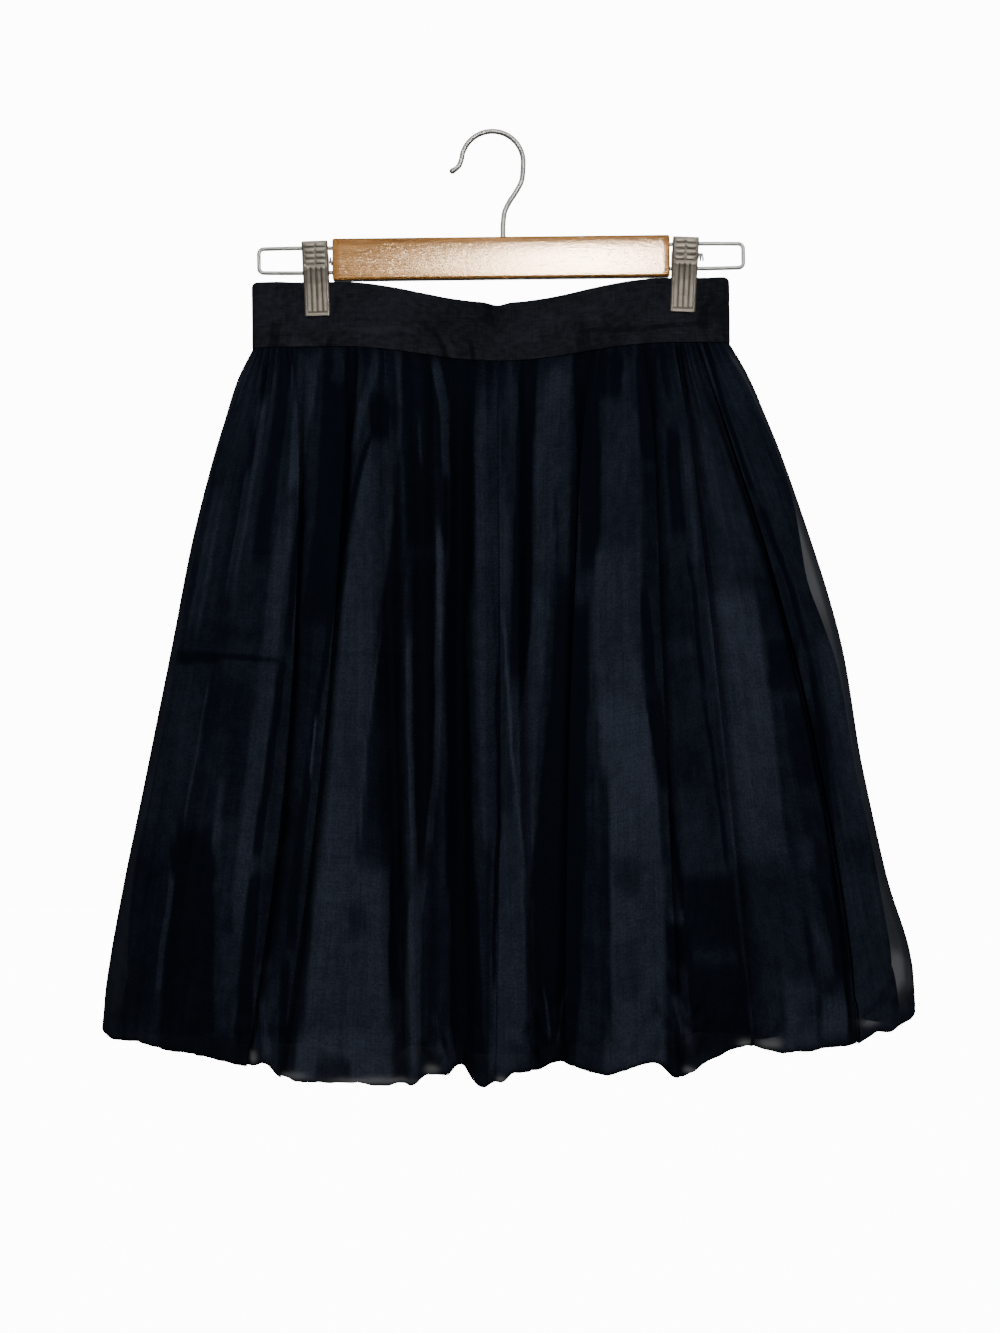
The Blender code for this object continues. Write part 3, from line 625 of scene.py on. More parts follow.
class Section:
    """One level of the cloth from above: half of a closed curve, from the left side seam to the right."""

    def __init__(self, side, share, inset=0.0, waist=1.0, sides=(0.0, 0.0)):
        left = smooth(share, OUTLINE, "left") - sides[0]
        right = smooth(share, OUTLINE, "right") - sides[1]
        depth = smooth(share, OUTLINE, "front" if side == FRONT else "back")
        power = smooth(share, OUTLINE, "roundness")
        across = -np.cos(np.linspace(0, np.pi, SECTION_POINTS))
        x = np.where(across < 0, across * left, across * right)
        full = (depth - inset) * (1 - np.abs(across) ** power) ** (1 / power)
        at_waist = np.maximum(band_depth(x, waist) - inset, NARROWEST) * np.sqrt(1 - np.abs(across) ** 14)
        out = at_waist + (np.maximum(full, 0) - at_waist) * ease(share / 0.13)
        self.side = side
        self.x, self.y = x, side * out
        self.along = np.concatenate([[0], np.cumsum(np.hypot(np.diff(self.x), np.diff(self.y)))])
        self.length = self.along[-1]

    def along_at(self, x):
        return np.interp(x, self.x, self.along)

    def clear_of(self, x, y):
        """How far the curve is from each of these points."""
        return np.hypot(x[:, None] - self.x[::3], y[:, None] - self.y[::3]).min(axis=1)

    def point(self, along, inward):
        """The x and y of points this far along, moved in from the curve by inward."""
        ahead, behind = along + 0.0015, along - 0.0015
        tangent_x = np.interp(ahead, self.along, self.x) - np.interp(behind, self.along, self.x)
        tangent_y = np.interp(ahead, self.along, self.y) - np.interp(behind, self.along, self.y)
        size = np.hypot(tangent_x, tangent_y)
        x = np.interp(along, self.along, self.x) + self.side * tangent_y / size * inward
        y = np.interp(along, self.along, self.y) - self.side * tangent_x / size * inward
        return x, y


def cloth(name, points, finish, side, uv):
    """A sheet from rows of points, wound so that its outer face points away from the wearer."""
    faces = grid_faces(*points.shape[:2])
    if side == BACK:
        faces = faces[:, ::-1]
    return new_piece(name, points, faces, finish, uv)


def flat_uv(points):
    """The cloth laid flat in metres: across by the mean row's lengths, down by each column's length."""
    across = np.linalg.norm(np.diff(points, axis=1), axis=2).mean(axis=0)
    down = np.linalg.norm(np.diff(points, axis=0), axis=2).mean(axis=1)
    u = np.concatenate([[0], np.cumsum(across)])
    v = np.concatenate([[0], np.cumsum(down)])
    return np.stack(np.broadcast_arrays(u[None, :], -v[:, None]), axis=-1)


# The waistband's wrinkles, and its creases, which run across: their tones are painted light and shade, and
# lift or sink the cloth a little.
BAND_FOLDS = {
    FRONT: (
        Fold(316, 366, 430, 441, 449, 3.0, 3.0, -0.30),
        Fold(322, 362, 438, 450, 458, 3.0, 3.0, 0.25),
        Fold(326, 362, 468, 471, 473, 2.5, 2.5, -0.35),
        Fold(290, 330, 486, 490, 494, 4.0, 4.0, -0.25),
        Fold(300, 350, 272, 268, 262, 5.0, 5.0, -0.30),
        Fold(322, 352, 296, 290, 282, 9.0, 9.0, 0.25),
        Fold(318, 352, 327, 325, 322, 3.0, 3.0, -0.35),
        Fold(300, 352, 577, 583, 590, 8.0, 8.0, -0.18),
        Fold(318, 348, 640, 636, 628, 7.0, 7.0, 0.20),
        Fold(284, 330, 712, 710, 706, 5.0, 5.0, -0.25),
    ),
    BACK: (
        Fold(296, 350, 352, 360, 366, 6.0, 6.0, -0.25),
        Fold(300, 358, 430, 436, 446, 4.0, 4.0, 0.25),
        Fold(310, 362, 512, 508, 500, 4.0, 4.0, -0.30),
        Fold(304, 352, 585, 590, 598, 7.0, 7.0, 0.20),
        Fold(300, 350, 655, 652, 645, 5.0, 5.0, -0.30),
    ),
}
BAND_CREASES = {
    FRONT: (
        Fold(552, 600, 350, 349, 346, 1.6, 1.6, -0.45),
        Fold(575, 720, 322, 318, 312, 3.0, 3.0, -0.20),
        Fold(340, 430, 318, 320, 322, 4.0, 4.0, 0.15),
        Fold(250, 320, 341, 341, 341, 1.8, 1.8, 0.25),
    ),
    BACK: (Fold(380, 520, 320, 324, 326, 4.0, 4.0, -0.20), Fold(600, 700, 330, 328, 324, 3.0, 3.0, 0.20)),
}
BAND_DIP, BAND_DIP_X = 0.0020, 0.0023
BAND_CORNER = 0.0045


def band_cloth():
    """Matt black cotton-like cloth: a plain weave whose yarns thicken here and there into slubs."""
    band = Finish("waistband_cloth", Roughness=0.85)
    band.shader.inputs["Specular IOR Level"].default_value = 0.006
    # The tone attribute paints the light and shade of the band's wrinkles and creases into its colour.
    shade = band.node("ShaderNodeAttribute", {"attribute_name": "tone"}).part("Fac")
    weft = band.noise(band.place((60, 1500, 1), "UV"), 1.0, 2.0)
    warp = band.noise(band.place((1500, 60, 1), "UV"), 1.0, 2.0)
    worn = band.noise(band.place((14, 22, 1), "UV"), 1.0, 3.0)
    mottle = band.noise(band.place((170, 260, 1), "UV"), 1.0, 3.0, 0.6)
    yarns = weft * 0.55 + warp * 0.45
    tone = (yarns * 0.40 + worn * 0.28 + mottle * 0.32 + shade * 0.35).between(0.36, 0.70)
    band.feed("Base Color", band.mix(tone, (0.0030, 0.0034, 0.0048), (0.0118, 0.0124, 0.0166)))
    band.feed("Roughness", 0.78 + yarns * 0.14)
    band.bump(yarns, 0.00025)
    return band


def make_waistband(side, word, finish):
    """The band's middle surface from top edge to seam, with its wrinkles, given its wall by Solidify.

    Its top corners are quarter ellipses, and its end columns lap a little over the other half's.
    """
    rows, tones = [], []
    for down in np.linspace(0, 1, BAND_ROWS):
        section = Section(side, 0.0, waist=down)
        along = np.linspace(SEAM_GAP / 2, section.length - SEAM_GAP / 2, BAND_COLUMNS)
        x, y = section.point(along, 0.0)
        top = band_top(x) - BAND_DIP * (side == FRONT) * np.exp(-(((x - BAND_DIP_X) / 0.0065) ** 2))
        corner = np.clip(np.minimum(along, section.length - along) / BAND_CORNER, 0, 1)
        rounding = BAND_CORNER * (1 - np.sqrt(1 - (1 - corner) ** 2))
        z = top + (waist_seam(x) - top) * down - rounding * (1 - down)
        across, fall = in_steps(x, z)
        # The tone is painted light and shade for the colour, and it also lifts or sinks the cloth.
        tone = marks(BAND_FOLDS[side], across, fall) + marks(BAND_CREASES[side], fall, across)
        loose = np.clip(between_clips(x) * 3, 0.15, 1) * np.minimum(1, 4 * (1 - down) + 0.35)
        pulled = 0.0007 * waves(7 + side, x + down * 0.018, down * 0.04, 0.05, 0.06) - LIFT * tone
        x, y = section.point(along, loose * pulled)
        rows.append(np.stack([x, y, z], axis=1))
        tones.append(tone)
    points = np.array(rows)
    points[:, [0, -1], 1] = -side * SEAM_LAP
    band = cloth("waistband_" + word + "_cloth", points, finish, side, flat_uv(points))
    keep_value(band, "tone", tones)
    wall = band.modifiers.new("Doubled cloth", "SOLIDIFY")
    wall.thickness = WAISTBAND_WALL
    wall.offset = 0.0
    edge = band.modifiers.new("Soft edge", "BEVEL")
    edge.width = 0.0006
    edge.segments = 2
    edge.limit_method = "ANGLE"
    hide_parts("waistband_" + word)
    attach(band, "root")


band_finish = band_cloth()
make_waistband(FRONT, "front", band_finish)
make_waistband(BACK, "back", band_finish)

# The shell is sheer organza, laid in pleats and gathered into the waistband. At the hem it turns under and
# runs up inside to the lining's edge, which makes the balloon. It is thin, so it stays one surface.
ORGANZA_WALL, LINING_WALL = 0.0016, 0.0012
HEM_MIDDLE = -0.6530
HEM_SIDE_RISE = 0.0250
HEM_TURN = 0.0055
LINING_RISE = 0.0380
LINING_SHARE = 0.925
TURN_UP_INSET = 0.0140
TURN_UP_ROOM = 0.0085
JOIN_LAP = 0.0020
INTO_BAND = 0.0010
PLEAT_RETURN = 0.0032
PLEAT_RISE = 0.0120
PLEAT_LAP = 0.75
DEEPEST_PLEAT = 0.0125
PLEAT_CLEARANCE = 0.0010
GATHER = 0.0017
GATHER_SPACING = 0.0125
GATHER_LENGTH = 0.15
SOFT_FOLD, FINE_FOLD, PUCKER = 0.0007, 0.0003, 0.0008
SIDE_SEAM_DEPTH = 0.0015
MIDDLE_SHARE = 0.45
SHELL_COLUMNS, LEAST_COLUMNS = 512, 16
SHELL_ROWS, TURN_ROWS, TURN_UP_ROWS = 156, 16, 12

Fullness = namedtuple("Fullness", "share pleats")
FULLNESS = (
    Fullness(0.00, 0.00),
    Fullness(0.04, 0.38),
    Fullness(0.12, 0.80),
    Fullness(0.30, 1.00),
    Fullness(0.70, 1.00),
    Fullness(1.00, 0.65),
)

# The valleys between pleats: where each crosses the waist, the middle and the hem, how deep it is, and which
# way the cloth laps over it: 1 is the pleat on its left, -1 is the one on its right, 0 is an open soft fold.
# The notch is how far the hem is drawn up there.
Valley = namedtuple("Valley", "waist middle hem depth laps notch")
VALLEYS = {
    FRONT: (
        Valley(-0.1600, -0.1985, -0.2370, 0.0030, 0, 0.002),
        Valley(-0.1390, -0.1450, -0.1750, 0.0125, 1, 0.006),
        Valley(-0.1030, -0.1180, -0.1510, 0.0115, 1, 0.003),
        Valley(-0.0760, -0.0730, -0.0690, 0.0120, 0, 0.002),
        Valley(-0.0520, -0.0507, -0.0520, 0.0090, 0, 0.004),
        Valley(-0.0240, -0.0262, -0.0270, 0.0130, 0, 0.009),
        Valley(0.0010, 0.0011, -0.0050, 0.0060, -1, 0.003),
        Valley(0.0190, 0.0130, 0.0190, 0.0090, 1, 0.004),
        Valley(0.0670, 0.0560, 0.0450, 0.0130, -1, 0.008),
        Valley(0.1060, 0.1068, 0.1180, 0.0120, 1, 0.009),
        Valley(0.1270, 0.1446, 0.1700, 0.0090, 1, 0.012),
        Valley(0.1400, 0.2080, 0.2460, 0.0110, -1, 0.005),
    ),
    BACK: (
        Valley(-0.1500, -0.1960, -0.2350, 0.0100, 1, 0.006),
        Valley(-0.1180, -0.1500, -0.1900, 0.0090, 1, 0.004),
        Valley(-0.0860, -0.1020, -0.1290, 0.0125, 1, 0.008),
        Valley(-0.0590, -0.0660, -0.0770, 0.0110, 0, 0.003),
        Valley(-0.0260, -0.0250, -0.0330, 0.0130, -1, 0.007),
        Valley(0.0080, 0.0140, 0.0120, 0.0080, 0, 0.003),
        Valley(0.0390, 0.0530, 0.0680, 0.0125, -1, 0.008),
        Valley(0.0780, 0.0960, 0.1130, 0.0100, 1, 0.004),
        Valley(0.1130, 0.1440, 0.1730, 0.0120, -1, 0.007),
        Valley(0.1480, 0.1980, 0.2400, 0.0090, -1, 0.005),
    ),
}

# Secondary folds between and beside the pleats: their tones paint light and shade on the sheer cloth, lighter
# where it catches the light, darker where it lies doubled in shadow.
SHELL_FOLDS = {
    FRONT: (
        Fold(316, 650, 258, 232, 205, 10, 32, 0.02),
        Fold(375, 610, 262, 241, 222, 6, 7, 0.26),
        Fold(480, 640, 212, 200, 186, 6, 8, 0.20),
        Fold(341, 402, 259, 257, 255, 5, 4, -0.25),
        Fold(412, 478, 247, 245, 240, 4, 4, -0.12),
        Fold(328, 575, 283, 269, 256, 6, 9, -0.34),
        Fold(326, 500, 308, 297, 289, 13, 5, 0.34),
        Fold(485, 985, 287, 258, 232, 8, 11, 0.28),
        Fold(618, 652, 238, 236, 234, 22, 24, -0.14),
        Fold(668, 850, 178, 165, 150, 20, 26, 0.06),
        Fold(668, 830, 228, 220, 212, 22, 22, -0.10),
        Fold(668, 842, 204, 190, 177, 1.5, 1.5, 0.30),
        Fold(850, 1050, 148, 138, 128, 18, 24, -0.14),
        Fold(815, 1085, 192, 192, 196, 18, 42, -0.40),
        Fold(862, 1010, 168, 160, 152, 2.5, 3, 0.24),
        Fold(842, 885, 170, 171, 172, 5, 5, -0.45),
        Fold(770, 865, 224, 217, 214, 3, 5, 0.22),
        Fold(860, 1050, 222, 222, 226, 9, 12, 0.02),
        Fold(925, 1000, 232, 230, 228, 9, 9, 0.16),
        Fold(600, 960, 316, 300, 285, 13, 14, -0.06),
        Fold(800, 850, 292, 290, 288, 9, 9, -0.22),
        Fold(850, 990, 280, 273, 268, 14, 14, -0.16),
        Fold(952, 985, 268, 266, 264, 7, 6, 0.12),
        Fold(495, 660, 300, 292, 285, 3, 3.5, -0.45),
        Fold(650, 870, 285, 268, 256, 3, 4, -0.50),
        Fold(860, 1090, 257, 247, 238, 5, 9, -0.50),
        Fold(992, 1065, 262, 264, 266, 4, 5, 0.38),
        Fold(328, 640, 337, 331, 313, 17, 15, -0.36),
        Fold(332, 458, 374, 362, 348, 5, 3.5, 0.22),
        Fold(324, 385, 335, 333, 330, 8, 6, 0.08),
        Fold(328, 410, 392, 393, 394, 9, 10, 0.10),
        Fold(405, 910, 386, 354, 331, 18, 22, 0.32),
        Fold(380, 442, 376, 377, 378, 10, 8, -0.36),
        Fold(850, 1090, 350, 350, 344, 38, 44, 0.38),
        Fold(895, 942, 359, 359, 359, 8, 8, 0.12),
        Fold(1020, 1095, 347, 346, 345, 48, 50, 0.52),
        Fold(1048, 1095, 333, 333, 333, 17, 17, 0.10),
        Fold(600, 860, 383, 368, 357, 1.3, 1.3, 0.45),
        Fold(480, 850, 407, 388, 382, 9, 14, -0.17),
        Fold(820, 1010, 395, 394, 396, 4, 5, -0.40),
        Fold(420, 560, 374, 352, 338, 2.5, 3, -0.45),
        Fold(550, 760, 339, 324, 311, 2.5, 3, -0.48),
        Fold(745, 960, 310, 299, 288, 3, 5.5, -0.48),
        Fold(950, 1085, 287, 284, 279, 4, 4, -0.42),
        Fold(705, 790, 317, 312, 307, 1.4, 1.4, 0.55),
        Fold(326, 560, 425, 425, 427, 26, 20, -0.38),
        Fold(338, 485, 429, 443, 446, 6, 4, 0.20),
        Fold(405, 470, 417, 419, 421, 1.8, 1.8, 0.05),
        Fold(336, 620, 462, 462, 458, 12, 12, -0.40),
        Fold(540, 880, 424, 424, 422, 12, 10, -0.32),
        Fold(560, 1095, 455, 460, 472, 9, 17, -0.46),
        Fold(505, 870, 436, 438, 427, 3.5, 4, 0.34),
        Fold(620, 890, 409, 410, 415, 3, 3, 0.28),
        Fold(868, 1085, 421, 413, 412, 7, 9, 0.34),
        Fold(878, 975, 444, 446, 446, 5, 4, 0.02),
        Fold(1000, 1070, 432, 438, 446, 3, 3, 0.22),
        Fold(1020, 1075, 450, 452, 458, 3, 3, 0.15),
        Fold(328, 392, 493, 493, 493, 10, 14, -0.05),
        Fold(385, 640, 493, 492, 492, 16, 17, 0.16),
        Fold(590, 860, 482, 486, 492, 13, 7, 0.20),
        Fold(800, 1085, 503, 504, 502, 12, 14, 0.28),
        Fold(400, 480, 505, 506, 507, 4, 4, -0.10),
        Fold(650, 1000, 497, 498, 492, 1.5, 2, -0.30),
        Fold(331, 695, 530, 523, 520, 8, 10, -0.42),
        Fold(430, 520, 511, 512, 510, 5, 5, -0.08),
        Fold(341, 580, 556, 553, 550, 17, 18, 0.18),
        Fold(565, 700, 565, 563, 560, 9, 10, -0.26),
        Fold(480, 640, 556, 556, 554, 1.5, 1.5, -0.10),
        Fold(560, 1085, 546, 522, 510, 8, 14, 0.24),
        Fold(605, 905, 502, 513, 527, 1.6, 1.6, 0.48),
        Fold(328, 580, 589, 590, 592, 13, 9, -0.46),
        Fold(590, 860, 576, 567, 560, 14, 25, -0.48),
        Fold(820, 1095, 560, 557, 554, 26, 19, -0.52),
        Fold(975, 1050, 541, 546, 552, 1.5, 2, 0.10),
        Fold(975, 1055, 568, 562, 556, 1.5, 2, 0.10),
        Fold(395, 560, 624, 623, 620, 17, 21, 0.12),
        Fold(530, 730, 618, 618, 623, 22, 25, 0.30),
        Fold(690, 880, 622, 629, 633, 25, 29, 0.46),
        Fold(850, 1090, 634, 635, 632, 30, 31, 0.38),
        Fold(850, 905, 625, 627, 628, 14, 14, 0.16),
        Fold(930, 1010, 628, 628, 628, 12, 12, 0.26),
        Fold(760, 1060, 603, 605, 604, 4, 5, -0.10),
        Fold(575, 870, 592, 594, 596, 1.2, 1.2, 0.15),
        Fold(334, 398, 614, 614, 612, 14, 10, -0.40),
        Fold(328, 470, 651, 651, 653, 11, 8, -0.46),
        Fold(455, 600, 653, 652, 651, 9, 7, -0.24),
        Fold(580, 700, 646, 648, 652, 4, 6, -0.46),
        Fold(328, 400, 668, 670, 673, 4, 4, -0.30),
        Fold(328, 420, 684, 690, 694, 3, 4, -0.20),
        Fold(326, 420, 700, 706, 712, 10, 16, 0.04),
        Fold(415, 545, 674, 678, 682, 6, 7, -0.42),
        Fold(415, 575, 684, 693, 700, 4, 3, 0.20),
        Fold(555, 660, 672, 676, 680, 16, 18, -0.10),
        Fold(630, 665, 682, 682, 682, 14, 14, 0.14),
        Fold(665, 870, 684, 693, 705, 17, 20, 0.02),
        Fold(735, 800, 690, 692, 694, 15, 14, -0.10),
        Fold(685, 800, 654, 660, 669, 8, 5, -0.48),
        Fold(790, 1045, 670, 683, 700, 2.6, 3, -0.46),
        Fold(868, 960, 708, 710, 714, 25, 24, -0.40),
        Fold(950, 1065, 716, 719, 722, 26, 28, -0.38),
        Fold(918, 975, 680, 678, 682, 12, 10, -0.50),
        Fold(903, 930, 676, 676, 678, 8, 6, 0.30),
        Fold(985, 1045, 672, 680, 690, 5, 6, 0.30),
        Fold(965, 1000, 672, 674, 676, 6, 5, -0.45),
        Fold(1030, 1080, 676, 676, 676, 8, 8, -0.45),
        Fold(400, 590, 725, 728, 732, 22, 27, 0.12),
        Fold(570, 880, 732, 748, 765, 26, 28, 0.36),
        Fold(870, 985, 768, 772, 776, 30, 28, -0.04),
        Fold(965, 1055, 770, 770, 770, 20, 18, 0.06),
        Fold(970, 1060, 802, 803, 804, 16, 15, 0.24),
        Fold(680, 900, 778, 786, 793, 1.5, 1.5, -0.05),
        Fold(540, 700, 687, 698, 706, 1.8, 2, -0.42),
        Fold(690, 880, 705, 717, 731, 1.8, 1.8, -0.42),
        Fold(870, 1055, 730, 740, 749, 2.2, 3, -0.48),
        Fold(560, 640, 770, 778, 786, 16, 18, -0.10),
        Fold(632, 700, 785, 787, 790, 15, 16, -0.34),
        Fold(690, 800, 800, 806, 815, 16, 15, -0.22),
        Fold(715, 790, 822, 825, 828, 8, 7, -0.42),
        Fold(790, 900, 815, 820, 826, 14, 12, -0.16),
        Fold(828, 880, 808, 808, 810, 9, 9, 0.16),
        Fold(880, 990, 822, 838, 846, 5, 6, -0.40),
        Fold(915, 985, 812, 824, 834, 4, 5, 0.18),
        Fold(905, 985, 806, 810, 814, 3, 3, -0.28),
        Fold(988, 1050, 836, 837, 836, 15, 13, 0.42),
        Fold(336, 640, 728, 776, 820, 8, 9, 0.08),
        Fold(620, 860, 828, 848, 864, 9, 14, 0.22),
        Fold(850, 1050, 862, 872, 880, 16, 22, 0.14),
        Fold(318, 500, 707, 733, 763, 2.4, 2.6, -0.48),
        Fold(490, 660, 761, 792, 814, 2.6, 3, -0.48),
        Fold(650, 860, 814, 828, 838, 2.6, 4, -0.46),
        Fold(850, 1055, 838, 846, 860, 4, 2.5, -0.46),
    ),
    BACK: (
        Fold(331, 620, 280, 268, 250, 7.0, 7.0, -0.40),
        Fold(380, 760, 300, 288, 276, 9.0, 9.0, 0.24),
        Fold(326, 500, 330, 326, 316, 5.0, 5.0, -0.40),
        Fold(470, 900, 330, 316, 300, 16.0, 16.0, 0.28),
        Fold(700, 1060, 250, 236, 226, 22.0, 22.0, -0.34),
        Fold(336, 640, 372, 366, 352, 8.0, 8.0, -0.34),
        Fold(560, 1060, 378, 372, 366, 20.0, 20.0, 0.30),
        Fold(400, 700, 404, 406, 404, 3.0, 3.0, 0.42),
        Fold(380, 720, 418, 420, 418, 8.0, 8.0, -0.42),
        Fold(720, 1070, 430, 434, 440, 14.0, 14.0, -0.46),
        Fold(520, 980, 446, 450, 452, 3.0, 3.0, 0.40),
        Fold(336, 600, 476, 480, 478, 12.0, 12.0, 0.20),
        Fold(600, 1070, 484, 490, 500, 20.0, 20.0, 0.28),
        Fold(326, 560, 508, 510, 508, 6.0, 6.0, -0.40),
        Fold(450, 880, 530, 528, 520, 3.0, 3.0, 0.36),
        Fold(370, 720, 552, 556, 560, 13.0, 13.0, -0.36),
        Fold(500, 900, 590, 596, 600, 22.0, 22.0, 0.30),
        Fold(880, 1070, 610, 612, 606, 18.0, 18.0, -0.30),
        Fold(336, 560, 622, 626, 632, 6.0, 6.0, -0.42),
        Fold(430, 760, 648, 654, 660, 10.0, 10.0, 0.20),
        Fold(700, 1070, 668, 678, 690, 12.0, 12.0, -0.44),
        Fold(380, 700, 690, 706, 722, 16.0, 16.0, 0.26),
        Fold(560, 960, 742, 768, 800, 5.0, 5.0, -0.32),
        Fold(760, 1050, 760, 774, 790, 20.0, 20.0, 0.22),
    ),
}
# Creases run across, painted as lines of shade over shallow troughs: the storage fold at the left, and the
# edges of what lies doubled inside.
SHELL_CREASES = {
    FRONT: (
        Fold(160, 222, 658, 658, 658, 5.0, 4.5, -0.50),
        Fold(200, 294, 658, 658, 657, 3.0, 1.6, -0.42),
        Fold(280, 510, 655, 655, 654, 1.6, 1.6, -0.10),
    ),
    BACK: (Fold(560, 760, 650, 652, 655, 2.4, 2.4, -0.30), Fold(240, 430, 655, 656, 658, 2.2, 2.2, -0.24)),
}

# Where the hem is crumpled: the place, its radius, and how far it puffs.
Puff = namedtuple("Puff", "across down radius height")
PUFFS = {
    FRONT: (
        Puff(262, 1035, 30, 0.0030),
        Puff(445, 1045, 38, 0.0034),
        Puff(548, 1035, 36, 0.0034),
        Puff(680, 1030, 34, 0.0036),
        Puff(770, 1040, 40, 0.0022),
        Puff(885, 1000, 32, 0.0024),
        Puff(340, 1070, 44, 0.0014),
    ),
    BACK: (
        Puff(230, 1040, 40, 0.0030),
        Puff(410, 1060, 40, 0.0032),
        Puff(560, 1060, 44, 0.0028),
        Puff(700, 1040, 40, 0.0032),
        Puff(830, 1020, 36, 0.0026),
    ),
}

# Where light comes through: the swell of the right side, its corner at the hem, and puffs along the hem.
SEAM_ALLOWANCE = 0.020
SEAM_CLOSED = {LEFT: 0.9, RIGHT: 0.6}
EDGE_CLOSED = 0.8
Sheer = namedtuple("Sheer", "across down wide tall closed")
SHEER = (
    Sheer(822, 556, 34, 84, -0.05),
    Sheer(905, 986, 14, 24, -1.10),
    Sheer(252, 1059, 5, 7, 0.10),
    Sheer(294, 1077, 16, 4, 0.10),
    Sheer(372, 1081, 50, 4, 0.00),
    Sheer(432, 1070, 9, 6, 0.10),
    Sheer(501, 1079, 6, 4, 0.00),
    Sheer(690, 1071, 7, 4, 0.00),
    Sheer(746, 1044, 9, 4, 0.00),
    Sheer(772, 1045, 14, 6, -0.10),
    Sheer(876, 1028, 12, 5, 0.00),
)

# How far the hem is drawn up, in steps, along the front and the back.
Hem = namedtuple("Hem", "across rise")
HEMS = {
    FRONT: (
        Hem(100, 4), Hem(112, 5), Hem(126, 9), Hem(142, 7), Hem(158, 5), Hem(176, 7), Hem(197, 6),
        Hem(222, 4), Hem(240, 2), Hem(252, 3), Hem(258, 6), Hem(264, 9), Hem(270, 4), Hem(276, -4),
        Hem(290, -8), Hem(308, -8), Hem(330, -7), Hem(350, -5), Hem(374, -7), Hem(398, -5), Hem(417, -4),
        Hem(424, 5), Hem(448, 5), Hem(454, 12), Hem(461, 18), Hem(467, 9), Hem(474, -2), Hem(482, -7),
        Hem(488, -6), Hem(494, 0), Hem(503, -3), Hem(511, 8), Hem(526, 8), Hem(538, 9), Hem(546, 15),
        Hem(560, 18), Hem(574, 11), Hem(592, 6), Hem(606, 1), Hem(622, 5), Hem(654, 12), Hem(662, 10),
        Hem(670, 0), Hem(678, -7), Hem(690, -4), Hem(704, 6), Hem(718, 10), Hem(734, 17), Hem(752, 18),
        Hem(766, 12), Hem(782, 7), Hem(798, 5), Hem(818, 3), Hem(828, 5), Hem(846, 1), Hem(862, 1),
        Hem(876, 5), Hem(886, 8), Hem(896, 5), Hem(904, 4), Hem(912, 9),
    ),
    BACK: (
        Hem(100, 4), Hem(112, 5), Hem(180, 5), Hem(196, 12), Hem(214, 2), Hem(290, 6), Hem(302, 14),
        Hem(318, 4), Hem(390, -2), Hem(402, 10), Hem(440, 7), Hem(455, 16), Hem(468, 2), Hem(540, 0),
        Hem(556, 12), Hem(600, 6), Hem(612, 15), Hem(630, 1), Hem(690, 4), Hem(704, 14), Hem(760, 8),
        Hem(774, 0), Hem(850, 6), Hem(866, 13), Hem(896, 5), Hem(904, 4), Hem(912, 9),
    ),
}


def valley_lines(side, share):
    """x of each valley at a share of the drop, on a parabola through waist, middle and hem."""
    waist, middle, hem = np.array([(v.waist, v.middle, v.hem) for v in VALLEYS[side]]).T
    curve = ((hem - waist) * MIDDLE_SHARE - (middle - waist)) / (MIDDLE_SHARE - MIDDLE_SHARE**2)
    return waist + (hem - waist - curve) * share + curve * share**2


def pleat_columns(side):
    """Each column's pleat and its place in it, from 0 at the left valley to 1 at the right one.

    Wider pleats have more columns, and places crowd towards both valleys, where the cloth turns under.
    """
    ends = smooth(MIDDLE_SHARE, OUTLINE, "left"), smooth(MIDDLE_SHARE, OUTLINE, "right")
    widths = np.diff(np.concatenate([[-ends[0] - 0.02], valley_lines(side, MIDDLE_SHARE), [ends[1] + 0.02]]))
    spare = SHELL_COLUMNS - LEAST_COLUMNS * len(widths)
    counts = LEAST_COLUMNS + (spare * widths / widths.sum()).astype(int)
    pleat = np.repeat(np.arange(len(widths)), counts)
    even = np.concatenate([np.linspace(0, 1, count, endpoint=False) for count in counts])
    return np.append(pleat, len(widths) - 1), np.append(even - 0.085 * np.sin(2 * np.pi * even), 1.0)


def pleated(side, share, pleat, place, section, strength):
    """How far along the section each column lies and how far in, by its pleat and its place in it.

    A pleat rises from its left valley, runs level and falls to its right valley, within PLEAT_RISE. Where it
    laps over a valley it falls within PLEAT_RETURN and leans over it by a share of the valley's depth.
    """
    valleys = VALLEYS[side]
    lines = np.concatenate([[0], section.along_at(valley_lines(side, share)), [section.length]])
    depth = np.array([SIDE_SEAM_DEPTH] + [v.depth for v in valleys] + [SIDE_SEAM_DEPTH]) * strength
    laps = np.array([0] + [v.laps for v in valleys] + [0])
    width = lines[pleat + 1] - lines[pleat]
    sharp_left, sharp_right = laps[pleat] == LEFT, laps[pleat + 1] == RIGHT
    short, long = np.clip(PLEAT_RETURN / width, 0.04, 0.30), np.clip(PLEAT_RISE / width, 0.15, 0.50)
    up = np.sin(np.pi / 2 * np.clip(place / np.where(sharp_left, short, long), 0, 1)) ** 2
    down = np.sin(np.pi / 2 * np.clip((1 - place) / np.where(sharp_right, short, long), 0, 1)) ** 2
    inward = depth[pleat] * (1 - up) + depth[pleat + 1] * (1 - down)
    lean_left = sharp_left * depth[pleat] * up * (1 - place) ** 2
    lean_right = sharp_right * depth[pleat + 1] * down * place**2
    return lines[pleat] + width * place + PLEAT_LAP * (lean_right - lean_left), inward


